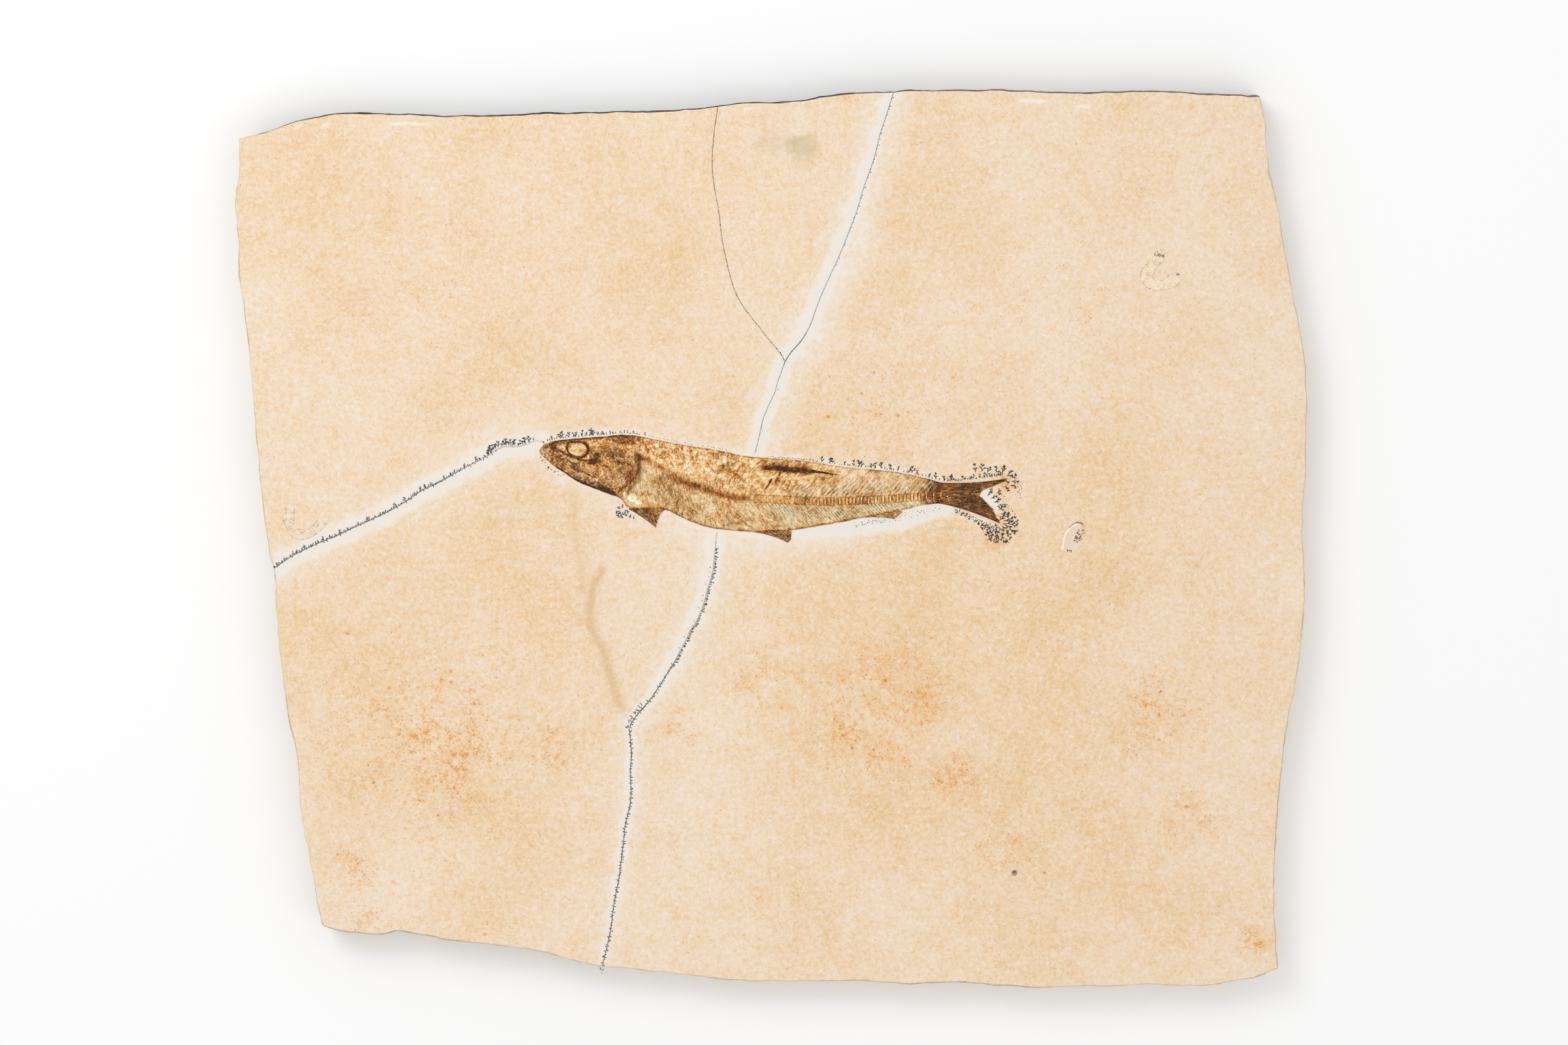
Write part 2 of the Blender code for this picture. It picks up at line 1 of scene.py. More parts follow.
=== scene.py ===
"""The finished look of a fossil fish slab: a split plate of fine limestone with a long
slender fish, its cracks grown over with manganese dendrites.

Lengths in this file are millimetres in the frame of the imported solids: x runs towards the
tail, y from the belly to the back of the fish, z up from the flat underside of the stone.
MM turns them into metres where a mesh is made.
"""
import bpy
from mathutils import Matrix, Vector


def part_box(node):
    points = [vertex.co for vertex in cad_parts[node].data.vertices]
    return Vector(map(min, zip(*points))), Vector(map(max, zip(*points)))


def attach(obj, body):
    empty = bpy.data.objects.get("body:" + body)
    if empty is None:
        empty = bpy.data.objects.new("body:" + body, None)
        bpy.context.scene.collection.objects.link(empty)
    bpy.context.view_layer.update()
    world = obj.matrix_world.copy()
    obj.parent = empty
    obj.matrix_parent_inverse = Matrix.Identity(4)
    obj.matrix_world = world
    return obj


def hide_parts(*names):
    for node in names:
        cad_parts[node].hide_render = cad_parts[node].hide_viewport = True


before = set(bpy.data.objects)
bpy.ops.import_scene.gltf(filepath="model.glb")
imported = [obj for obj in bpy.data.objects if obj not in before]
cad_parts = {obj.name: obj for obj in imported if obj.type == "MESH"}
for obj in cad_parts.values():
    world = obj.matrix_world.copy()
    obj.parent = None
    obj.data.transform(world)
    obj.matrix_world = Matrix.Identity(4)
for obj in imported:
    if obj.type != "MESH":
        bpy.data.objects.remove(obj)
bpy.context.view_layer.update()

from types import SimpleNamespace

import bpy
import numpy as np

MM = 0.001
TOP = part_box("limestone_slab")[1].z / MM       # the bedding plane that the fish lies on

# ============================================================ outlines and lines

LEFT_RIM = (
    (-278.8, 209.8), (-279.2, 190), (-281, 177), (-279.6, 160), (-278.8, 136), (-276.2, 121),
    (-273.5, 94), (-270.7, 66), (-267.2, 24), (-263.5, -4), (-260.2, -18), (-258.5, -46),
    (-253.6, -88), (-248.3, -116), (-246.6, -144), (-241, -172), (-236.1, -200), (-234.3, -203.5),
)
NEAR_RIM = (
    (-234.3, -203.5), (-209, -207.4), (-195, -205.6), (-181, -207.7), (-153, -211.9),
    (-125, -215.1), (-97, -222.4), (-69, -226), (-41, -229), (-13, -231.5), (43, -231.5),
    (71, -232.9), (99, -232.5), (127, -234.3), (155, -234.7), (197, -233.3), (225, -234),
    (239, -232.2), (253, -229.8), (265.5, -225.2),
)
RIGHT_RIM = (
    (265.5, -225.2), (263.6, -200), (263.5, -170), (266.5, -130), (269.7, -102), (274.6, -74),
    (278.4, -46), (279.5, -18), (278.1, 10), (279.8, 38), (280.5, 80), (277.4, 108),
    (269.3, 150), (264.8, 178), (261.3, 192), (259.5, 206), (258.5, 220), (256, 231.9),
)
FAR_RIM = (
    (256, 231.9), (225, 233.3), (197, 234.3), (155, 233.6), (127, 234.7), (85, 234.7),
    (57, 234), (29, 231.9), (15, 229.4), (-13, 228), (-41, 225.2), (-69, 223.8),
    (-111, 222.8), (-167, 221.4), (-209, 222.8), (-225.6, 223.1), (-237, 221),
    (-251, 217.9), (-265, 213.3), (-278.8, 209.8),
)

CRACK_LEFT = (
    (-285, -28), (-263.4, -16.6), (-260.2, -14.9), (-253.9, -10.3), (-246.2, -6.1),
    (-237.1, -1.9), (-227.7, 1.9), (-218.2, 6.5), (-208.8, 10.7), (-199.7, 15.2),
    (-190.2, 20.8), (-183.6, 25.4), (-176.9, 28.5), (-169.6, 32.4), (-161.9, 36.9),
    (-156.3, 39.7), (-148.9, 43.6), (-141.2, 48.1), (-132.1, 48.5), (-122.7, 51.6),
    (-118.1, 49.2),
)
CRACK_FAR = (
    (66, 240), (63.2, 231.2), (60.7, 223.1), (56.9, 211.6), (54.8, 202.5), (51.6, 192.7),
    (48.1, 182.9), (44.6, 171.3), (36.9, 151.4), (29.9, 136), (26.8, 129), (23.3, 120.2),
    (20.8, 112.9), (16.3, 104.8), (11.4, 99.2), (8.8, 95.7), (7.2, 92.9), (5.8, 89.1),
    (3.3, 82.1), (1.9, 76.8), (0, 73), (-3.7, 64.6), (-5.1, 59.7), (-6.5, 53), (-8.6, 44.6),
)
CRACK_BRANCH = (
    (-28, 240), (-28.2, 228.7), (-28.5, 224.2), (-29.9, 214.4), (-31, 200), (-30.3, 187.4),
    (-27.8, 173.4), (-24.7, 151.4), (-18, 127.6), (-4.7, 109), (-0.6, 103.9), (2.4, 100.4), (4.4, 98),
)
CRACK_NEAR = (
    (-28.6, 2.6), (-29.1, -2.3), (-29.6, -7.2), (-30.1, -12.1), (-30.6, -16.6), (-32, -21.9),
    (-33.5, -26.4), (-34.5, -30.8), (-36.6, -37.2), (-39.4, -43.6), (-42.4, -48),
    (-44.8, -53.4), (-47.8, -58.8), (-50.2, -63.7), (-54.6, -70.7), (-60.2, -79.6),
    (-64.4, -85.5), (-70.6, -92.6), (-74.7, -99.2), (-74.2, -102.7), (-73.5, -113.6),
    (-74, -122.7), (-73.8, -137), (-76.6, -150), (-77.9, -161.2), (-80, -178),
    (-82.6, -191.3), (-84.2, -203.9), (-86.6, -215.8), (-88.5, -223.1), (-90.5, -233),
)
UNDER_FISH = ((-18, 24.3),)                    # where the main crack passes beneath the body
BRANCH_CARRIED_ON = (      # grid guide from the branch crack to the near rim
    (4.6, 95), (3, 91), (-3, 84), (-22, 68), (-38, 50), (-45, 29), (-48, 5), (-50, -17),
    (-58, -45), (-72, -72), (-92, -102), (-93, -140), (-98, -180), (-108, -240),
)
LEFT_CARRIED_ON = (                            # and from the left crack to the right rim
    (-100, 44), (-70, 36), (-45, 29), (-18, 24.3), (0, 22.5), (30, 22), (60, 22.5), (89, 24),
    (130, 22), (180, 18), (230, 14), (278, 10), (290, 9),
)

# Crack: its line, half width and depth of the groove, and how far one side stands up
CRACKS = (
    dict(line=CRACK_LEFT, half=0.34, depth=0.55, lip=0.0),
    dict(line=CRACK_FAR, half=0.30, depth=0.50, lip=0.0),
    dict(line=CRACK_BRANCH, half=0.28, depth=0.40, lip=0.16),
    dict(line=CRACK_NEAR, half=0.34, depth=0.55, lip=0.0),
)
LIP_REACH = 2.2            # how far back from the crack its raised lip dies away

HOLLOW_CENTRE = (158.7, -0.2)
HOLLOW_RADII = (5.0, 9.2)
HOLLOW_DEPTH = 1.1
HOLLOW_LEAN = -24.0        # degrees from the y axis
PIT_CENTRE = (127.7, -175.5)
PIT_RADIUS = 1.6
PIT_DEPTH = 1.0

BACK = (
    (-121.3, 47.4), (-119.3, 49.5), (-116.3, 50.8), (-112.6, 51.7), (-102, 52.8), (-88.4, 53.7),
    (-78.6, 54.6), (-68.4, 53.7), (-51.6, 50.2), (-27.8, 46.4), (-13.1, 43.4), (15.9, 41),
    (39.4, 37.6), (63.9, 35.2), (80, 32), (89.1, 29.6),
)
BELLY = (
    (-121.3, 44.9), (-120.0, 43.5), (-116.3, 40.1), (-112.6, 37.2), (-108.7, 34.6), (-102, 30.2),
    (-91.2, 25.7), (-79.6, 21.4), (-73.7, 15.9), (-57, 15.6), (-48.1, 11.7), (-34.8, 6.5),
    (-21.2, 4.4), (-8.9, 3.7), (9.6, 4.4), (29.2, 7.5), (47.8, 11), (56, 13), (68, 14.9),
    (78.6, 17.5), (89.1, 18.7),
)
SNOUT_X = -121.3
TAIL_ROOT_X = 89.1
COLUMN = (                 # the backbone, from behind the gill cover to the tail
    (-90, 47), (-68.3, 42.5), (-61.6, 39.2), (-54.9, 35.8), (-48.2, 31.2), (-39.5, 27.8),
    (-31.5, 25.1), (-24.1, 22.5), (-14.3, 21.4), (5.8, 20.5), (25.9, 19.6), (45.9, 20.1),
    (63.5, 21), (83.2, 22.5), (95, 23),
)
GILL_MARGIN = (            # share of the body's height from the belly, and x
    (0.0, -79.4), (0.13, -78.9), (0.27, -75.8), (0.41, -71.6), (0.53, -69.8), (0.65, -70.5),
    (0.75, -71.6), (1.0, -72.3),
)
VERTEBRA_PITCH = 3.8


# ============================================================ curves and noise

def smooth(points, step=1.0):
    """A Catmull-Rom curve: between two points a cubic whose slope at each point is half the
    way from the point before to the point after."""
    knots = np.array(points, float)
    padded = np.vstack([2 * knots[0] - knots[1], knots, 2 * knots[-1] - knots[-2]])
    pieces = []
    for before, start, end, after in zip(padded, padded[1:], padded[2:], padded[3:]):
        count = max(1, round(float(np.linalg.norm(end - start)) / step))
        t = np.arange(count)[:, None] / count
        pieces.append(0.5 * (
            2 * start + (end - before) * t
            + (2 * before - 5 * start + 4 * end - after) * t ** 2
            + (3 * start - before - 3 * end + after) * t ** 3))
    return np.vstack(pieces + [knots[-1:]])


def y_of(points, step=1.0):
    """The y of a smooth line through the points, as a function of x."""
    x, y = smooth(points, step).T
    order = np.argsort(x)
    return lambda at: np.interp(at, x[order], y[order])


def x_of(points, step=1.0):
    """The x of a smooth line through the points, as a function of y."""
    x, y = smooth(points, step).T
    order = np.argsort(y)
    return lambda at: np.interp(at, y[order], x[order])


def lengths(path):
    """The length reached at each point of a path."""
    steps = np.hypot(*np.diff(path, axis=0).T)
    return np.concatenate([[0.0], np.cumsum(steps)])


def along(path, shares):
    """The places on a path at shares of its length, with the unit direction there."""
    reached = lengths(path)
    reached = reached / reached[-1]
    heading = np.gradient(path, axis=0)
    heading /= np.linalg.norm(heading, axis=1, keepdims=True)
    place = np.stack([np.interp(shares, reached, path[:, k]) for k in (0, 1)], axis=-1)
    aim = np.stack([np.interp(shares, reached, heading[:, k]) for k in (0, 1)], axis=-1)
    return place, aim / np.linalg.norm(aim, axis=-1, keepdims=True)


def beside(x, y, path):
    """The distance from each place to a path, signed plus on its left, and the length along
    the path there: the nearest point on each straight run, then the nearest run."""
    start, run = path[:-1], np.diff(path, axis=0)
    square = np.sum(run ** 2, axis=1)
    off_x, off_y = x[..., None] - start[:, 0], y[..., None] - start[:, 1]
    share = np.clip((off_x * run[:, 0] + off_y * run[:, 1]) / square, 0, 1)
    away_x, away_y = off_x - share * run[:, 0], off_y - share * run[:, 1]
    gap = np.hypot(away_x, away_y)
    nearest = np.argmin(gap, axis=-1)[..., None]
    side = np.sign(run[:, 0] * off_y - run[:, 1] * off_x)
    reached = lengths(path)[:-1] + share * np.sqrt(square)
    return tuple(np.take_along_axis(each, nearest, axis=-1)[..., 0]
                 for each in (gap * side, reached))


def bell(distance):
    """A smooth bump: 1 at distance 0 and near nothing at 2."""
    return np.exp(-distance ** 2)


def rise(value, low, high):
    """0 below low, 1 above high, and a smooth S between."""
    t = np.clip((value - low) / (high - low), 0, 1)
    return t * t * (3 - 2 * t)


def lattice(i, j, seed):
    """A fixed random number from 0 to 1 for each pair of whole numbers."""
    return np.abs(np.sin(i * 127.1 + j * 311.7 + seed * 74.7) * 43758.5453) % 1.0


def value_noise(x, y, size, seed):
    """Random values on a square lattice, blended across each cell, from -1 to 1."""
    u, v = x / size, y / size
    i, j = np.floor(u), np.floor(v)
    a, b = u - i, v - j
    a, b = a * a * (3 - 2 * a), b * b * (3 - 2 * b)
    low = lattice(i, j, seed) * (1 - a) + lattice(i + 1, j, seed) * a
    high = lattice(i, j + 1, seed) * (1 - a) + lattice(i + 1, j + 1, seed) * a
    return 2 * (low * (1 - b) + high * b) - 1


def rough(x, y, size, seed, octaves=3):
    """Octaves of value noise, each half as wide and half as high as the one before."""
    total = sum(value_noise(x, y, size / 2 ** k, seed + 13 * k) / 2 ** k for k in range(octaves))
    return total / (2 - 2.0 ** (1 - octaves))


def oval(x, y, centre, radii, lean=0.0):
    """The distance from a leaned oval's centre, counted so that its edge is at 1."""
    turn = np.radians(lean)
    off_x, off_y = x - centre[0], y - centre[1]
    u = off_x * np.cos(turn) + off_y * np.sin(turn)
    v = off_y * np.cos(turn) - off_x * np.sin(turn)
    return np.hypot(u / radii[0], v / radii[1])


# ============================================================ meshes

def make_piece(name, points, faces, finish, slot, replaced=(), **values):
    """A piece in the frame: faces is a list of arrays of quads or triangles, and values are
    numbers kept on the points for the finish to read."""
    mesh = bpy.data.meshes.new(name)
    counts = np.concatenate([np.full(len(each), each.shape[1]) for each in faces])
    corners = np.concatenate([each.ravel() for each in faces])
    mesh.vertices.add(len(points))
    mesh.vertices.foreach_set("co", (points * MM).ravel())
    mesh.loops.add(len(corners))
    mesh.loops.foreach_set("vertex_index", corners.astype(np.int32))
    mesh.polygons.add(len(counts))
    mesh.polygons.foreach_set("loop_start", (np.cumsum(counts) - counts).astype(np.int32))
    mesh.update(calc_edges=True)
    mesh.validate()
    for label, numbers in values.items():
        kind = "FLOAT_VECTOR" if numbers.ndim == 2 else "FLOAT"
        field = "vector" if numbers.ndim == 2 else "value"
        mesh.attributes.new(label, kind, "POINT").data.foreach_set(
            field, numbers.astype(np.float32).ravel())
    mesh.shade_smooth()
    mesh.materials.append(finish.material)
    piece = bpy.data.objects.new(name, mesh)
    bpy.context.scene.collection.objects.link(piece)
    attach(piece, "root")
    if replaced:
        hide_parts(*replaced)
    return piece


def grid_quads(rows, columns):
    """The quads of a grid of points numbered row by row, as an array of four corners each."""
    number = np.arange(rows * columns).reshape(rows, columns)
    return np.stack([number[:-1, :-1], number[1:, :-1], number[1:, 1:], number[:-1, 1:]],
                    axis=-1).reshape(-1, 4)


def grid_edge(rows, columns):
    """The numbers of the points round a grid's edge, in the turning sense of its quads."""
    number = np.arange(rows * columns).reshape(rows, columns)
    return np.concatenate([number[:-1, 0], number[-1, :-1], number[:0:-1, -1], number[0, :0:-1]])


def make_plate(name, x, y, z, floor, finish, slot, replaced=(), **values):
    """A closed plate: the grid as its top, the same plan flat at the floor as its underside,
    and a wall between their edges. Its faces are turned over where the plan runs clockwise,
    so that they always look outward."""
    rows, columns = x.shape
    count = rows * columns
    upper = np.stack([x.ravel(), y.ravel(), z.ravel()], axis=1)
    lower = np.stack([x.ravel(), y.ravel(), np.full(count, floor)], axis=1)
    top = grid_quads(rows, columns)
    edge = grid_edge(rows, columns)
    following = np.roll(edge, -1)
    wall = np.stack([edge + count, following + count, following, edge], axis=1)
    area = np.sum(x.ravel()[edge] * y.ravel()[following] - x.ravel()[following] * y.ravel()[edge])
    faces = np.vstack([top, top[:, ::-1] + count, wall])
    if area < 0:
        faces = faces[:, ::-1]
    doubled = {label: np.concatenate([each, each]) for label, each in
               ((label, each.reshape(count, *each.shape[2:])) for label, each in values.items())}
    return make_piece(name, np.vstack([upper, lower]), [faces], finish, slot, replaced, **doubled)


# ============================================================ finishes

def srgb(red, green, blue):
    """A colour given as screen values from 0 to 255, made linear."""
    screen = np.array([red, green, blue]) / 255
    linear = np.where(screen <= 0.04045, screen / 12.92, ((screen + 0.055) / 1.055) ** 2.4)
    return (*map(float, linear), 1.0)


class Wire:
    """A socket that takes part in arithmetic: each operation adds a Math node."""

    def __init__(self, finish, socket):
        self.finish = finish
        self.socket = socket

    def math(self, operation, *values):
        return self.finish.node("ShaderNodeMath", {"operation": operation},
                                dict(enumerate(values)))

    def __add__(self, other):
        return self.math("ADD", self, other)

    def __radd__(self, other):
        return self.math("ADD", other, self)

    def __sub__(self, other):
        return self.math("SUBTRACT", self, other)

    def __rsub__(self, other):
        return self.math("SUBTRACT", other, self)

    def __mul__(self, other):
        return self.math("MULTIPLY", self, other)

    def __rmul__(self, other):
        return self.math("MULTIPLY", other, self)

    def __truediv__(self, other):
        return self.math("DIVIDE", self, other)

    def __rtruediv__(self, other):
        return self.math("DIVIDE", other, self)


class Finish:
    """A material in the making. Every node comes from node(); the rest are short forms."""

    def __init__(self, name):
        self.material = bpy.data.materials.new(name)
        self.material.use_nodes = True
        self.tree = self.material.node_tree
        self.shader = self.tree.nodes["Principled BSDF"]
        place = self.node("ShaderNodeTexCoord", output="Object")
        self.place = self.node("ShaderNodeVectorMath", {"operation": "SCALE"},
                               {"Vector": place, "Scale": 1 / MM})

    def node(self, kind, settings=(), inputs=(), output=0):
        """Add a node, apply its settings, feed its sockets, and give one of its outputs."""
        made = self.tree.nodes.new(kind)
        for label, value in dict(settings).items():
            if label == "stops":
                self.set_stops(made.color_ramp, value)
            else:
                setattr(made, label, value)
        for label, value in dict(inputs).items():
            self.feed(made.inputs[label], value)
        return Wire(self, made.outputs[output])

    def feed(self, socket, value):
        if isinstance(value, Wire):
            self.tree.links.new(value.socket, socket)
        else:
            socket.default_value = value

    @staticmethod
    def set_stops(ramp, stops):
        while len(ramp.elements) < len(stops):
            ramp.elements.new(1.0)
        for element, (place, colour) in zip(ramp.elements, stops):
            element.position = place
            element.color = colour

    def value(self, label):
        """A number kept on the points of the piece."""
        return self.node("ShaderNodeAttribute", {"attribute_name": label}, output="Fac")

    def vector(self, label):
        return self.node("ShaderNodeAttribute", {"attribute_name": label}, output="Vector")

    def axis(self, vector, name):
        return self.node("ShaderNodeSeparateXYZ", inputs={"Vector": vector}, output=name)

    def added(self, first, second):
        """The sum of two vectors."""
        return self.node("ShaderNodeVectorMath", {"operation": "ADD"}, {0: first, 1: second})

    def size_of(self, number):
        """A number without its sign."""
        return self.node("ShaderNodeMath", {"operation": "ABSOLUTE"}, {0: number})

    def grain(self, size, detail=2.0, roughness=0.5, at=None, distortion=0.0):
        """Noise from 0 to 1 with features about size millimetres across."""
        return self.node("ShaderNodeTexNoise", {"noise_dimensions": "3D"}, {
            "Vector": at or self.place, "Scale": 1 / size, "Detail": detail,
            "Roughness": roughness, "Distortion": distortion}, "Fac")

    def stretched(self, vector, size, lean=0.0):
        """The vector divided by a size for each axis, after a turn about z in degrees."""
        return self.node("ShaderNodeMapping", {"vector_type": "TEXTURE"}, {
            "Vector": vector, "Rotation": (0, 0, float(np.radians(lean))), "Scale": size})

    def oval(self, centre, radii, lean=0.0):
        """The distance from a leaned oval's centre on the bedding plane, 1 at its edge."""
        local = self.node("ShaderNodeMapping", {"vector_type": "TEXTURE"}, {
            "Vector": self.place, "Location": (*centre, TOP),
            "Rotation": (0, 0, float(np.radians(lean))), "Scale": (*radii, FAR_AWAY)})
        return self.node("ShaderNodeVectorMath", {"operation": "LENGTH"}, {0: local}, "Value")

    def cells(self, size, at=None):
        """Distance to the nearest random point, and that point's random number."""
        inputs = {"Vector": at or self.place, "Scale": 1 / size, "Randomness": 1.0}
        distance = self.node("ShaderNodeTexVoronoi", inputs=inputs, output="Distance")
        colour = Wire(self, distance.socket.node.outputs["Color"])
        number = self.node("ShaderNodeSeparateColor", inputs={"Color": colour}, output="Red")
        other = Wire(self, number.socket.node.outputs["Green"])
        return distance, number, other

    def rise(self, value, low, high):
        """0 below low, 1 above high, and a smooth S between."""
        return self.node("ShaderNodeMapRange", {"interpolation_type": "SMOOTHSTEP"}, {
            "Value": value, "From Min": low, "From Max": high})

    def blend(self, first, second, share):
        """A colour between two colours."""
        return self.node("ShaderNodeMix", {"data_type": "RGBA"},
                         {"Factor": share, 6: first, 7: second}, 2)

    def bump(self, height, distance):
        """A normal from a height in millimetres times distance."""
        return self.node("ShaderNodeBump", inputs={
            "Height": height, "Distance": distance * MM, "Strength": 1.0})

    def ramp(self, value, *stops):
        return self.node("ShaderNodeValToRGB", {"stops": stops}, {"Fac": value}, "Color")

    def done(self, colour, roughness, normal=None, specular=0.5):
        self.feed(self.shader.inputs["Base Color"], colour)
        self.feed(self.shader.inputs["Roughness"], roughness)
        if normal:
            self.feed(self.shader.inputs["Normal"], normal)
        self.shader.inputs["Specular IOR Level"].default_value = specular
        return self


FAR_AWAY = 1e6             # a radius so large that its axis no longer counts

# Stone colours
STONE_STOPS = (            # from the palest mottle to the warmest
    (0.30, srgb(244, 232, 220)), (0.41, srgb(243, 225, 205)), (0.50, srgb(241, 217, 188)),
    (0.59, srgb(238, 209, 170)), (0.70, srgb(230, 190, 138)),
)
STONE_SHADE = srgb(205, 178, 146)
LILAC = srgb(241, 230, 222)
OCHRE = srgb(232, 184, 122)
ORANGE = srgb(231, 168, 90)
RUST = srgb(202, 130, 56)
HALO = srgb(239, 232, 223)
HALO_CORE = srgb(233, 230, 224)
TAN = srgb(222, 190, 146)
OLIVE = srgb(196, 180, 136)
CRACK_GREY = srgb(84, 80, 76)
CRACK_PALE = srgb(168, 158, 146)
HOLLOW_FLOOR = srgb(232, 215, 196)
# white for the chips by the far rim and for the painted highlight on the hollow's rim
CHIP_AND_HIGHLIGHT_WHITE = srgb(250, 244, 236)
HOLLOW_LINE = srgb(146, 92, 70)
SPECK_BLACK = srgb(66, 60, 56)
EDGE_CREAM = srgb(226, 208, 182)
EDGE_SHADE = srgb(188, 168, 140)
# painted shade for the far side, in black and brown, laid on as a dark coat
FAR_SHADE_BLACK = srgb(58, 51, 46)
FAR_SHADE_BROWN = srgb(116, 100, 82)
PIT_BROWN = srgb(150, 112, 78)
# painted shadow under the pit's upper edge
PIT_SHADOW = srgb(70, 52, 42)
SPECK_SIZES = (            # cell size, speck width, how common on plain and on rusty ground
    (1.1, 0.40, 0.07, 0.45), (2.4, 0.26, 0.05, 0.42), (6.0, 0.22, 0.01, 0.35),
)
BED_GRAIN = (60.0, 60.0, 1.5)          # the beds' noise: long along them, thin across


def stone_grains(stone):
    """The grains that the stone's functions share, each a noise from 0 to 1 named for what
    it makes; the place shifted by a small noise; and how rusty a place is."""
    grains = SimpleNamespace(
        cloud=stone.grain(55, detail=2),
        mottle=stone.grain(9.0, detail=3, roughness=0.7),
        grit=stone.grain(2.2, detail=3, roughness=0.8, distortion=0.4),
        fine=stone.grain(0.6, detail=2, roughness=0.7),
        light=stone.grain(3.0, detail=4, roughness=0.75),
        gather=stone.grain(19, detail=3, roughness=0.6),
        crumbs=stone.grain(1.4, detail=4, roughness=0.8))
    blots = stone.grain(3.4, detail=5, roughness=0.72, distortion=0.25)
    grains.rust = stone.rise(stone.value("rust"), 0.0, 0.75)
    grains.ochre = (blots * 0.6 + grains.crumbs * 0.4 + (grains.gather - 0.5) * 0.25
                    + grains.rust * 0.135 + 0.012)
    shift = stone.node("ShaderNodeTexNoise", inputs={
        "Vector": stone.place, "Scale": 1 / 0.8, "Detail": 2.0}, output="Color")
    grains.wandering = stone.added(stone.place, stone.node(
        "ShaderNodeVectorMath", {"operation": "SCALE"}, {"Vector": shift, "Scale": 1.2}))
    return grains


def bedding_colour(stone, grains):
    """Lilac cream to sand: a ramp over the sum of the grains, shaded by the finest one and
    lightened in flecks."""
    right = stone.rise(stone.axis(stone.place, "X"), -60, 300)
    tone = (0.505 + (grains.cloud - 0.5) * 0.3 + (grains.mottle - 0.5) * 0.28
            + (grains.grit - 0.5) * 0.66 + (grains.fine - 0.5) * 0.6
            + (stone.value("warmth") - 0.5) * 0.08)
    colour = stone.ramp(tone, *STONE_STOPS)
    colour = stone.blend(colour, STONE_SHADE, 0.06 + (0.5 - grains.fine) * 1.2 + right * 0.06)
    colour = stone.blend(colour, STONE_SHADE, stone.rise(grains.light, 0.42, 0.3) * 0.4)
    return stone.blend(colour, LILAC, stone.rise(grains.light, 0.55, 0.68) * 0.7)


def rust_over(stone, grains, colour, bare):
    """Ochre blots where the ochre sum is high, and specks: small cells, each kept where its
    own random number is below the density. They fade where the halo is."""
    for tint, total, low, high, share in (
            (OCHRE, grains.ochre, 0.54, 0.74, 0.36), (ORANGE, grains.ochre, 0.64, 0.78, 0.75),
            (RUST, grains.ochre + grains.rust * 0.03, 0.75, 0.84, 0.75)):
        colour = stone.blend(colour, tint, stone.rise(total, low, high) * bare * share)
    patchy = stone.rise(grains.gather, 0.42, 0.6)
    blur = (grains.crumbs - 0.5) * 2.4 + (grains.fine - 0.5) * 1.2
    for size, width, common, clustered in SPECK_SIZES:
        distance, number, other = stone.cells(size, grains.wandering)
        density = common * (0.3 + patchy) + grains.rust * clustered * (0.2 + patchy)
        speck = stone.rise(distance / width + blur, 1.0, 0.2) * stone.rise(density - number, 0, 0.01)
        tint = stone.blend(ORANGE, RUST, stone.rise(other + grains.rust * 0.3, 0.4, 0.95))
        colour = stone.blend(colour, tint, speck * (0.65 + grains.rust * 0.3) * bare)
    return colour


def stains_over(stone, grains, colour):
    """The tan creases, and an olive stain with a paler drift beside it near the far rim."""
    colour = stone.blend(colour, TAN, stone.value("tan") * (0.85 + (grains.grit - 0.5) * 2.0))
    ragged = (grains.mottle - 0.5) * 1.4
    olive = stone.rise(stone.oval((15.9, 205), (11, 10)) - ragged, 1.05, 0.35)
    drift = stone.rise(stone.oval((2, 208), (18, 8)) - ragged, 1.05, 0.4)
    return stone.blend(colour, OLIVE, olive * 0.45 + drift * 0.2)


def cracks_over(stone, grains, colour, inside):
    """The pale halo, the white chips by the far rim, and a grey thread with dark beads
    along each crack."""
    veil = stone.blend(HALO, HALO_CORE,
                       stone.rise(stone.value("halo") + (grains.mottle - 0.5), 0.7, 1.2))
    colour = stone.blend(colour, veil, inside * (0.9 + (grains.grit - 0.5) * 0.8))
    spall = stone.rise(stone.value("spall") + (grains.grit - 0.5) * 1.6, 0.35, 0.6)
    colour = stone.blend(colour, CHIP_AND_HIGHLIGHT_WHITE, spall * 0.5)
    depth = stone.value("crack")
    beads = stone.grain(1.1, detail=3, roughness=0.7)
    thread = stone.rise(depth, 0.1, 0.6)
    bead = stone.rise(depth + (beads - 0.5) * 3.0, 0.45, 0.95) * stone.rise(depth, 0.0, 0.2)
    colour = stone.blend(colour, CRACK_PALE, thread * 0.6)
    return stone.blend(colour, CRACK_GREY, bead * 0.9)


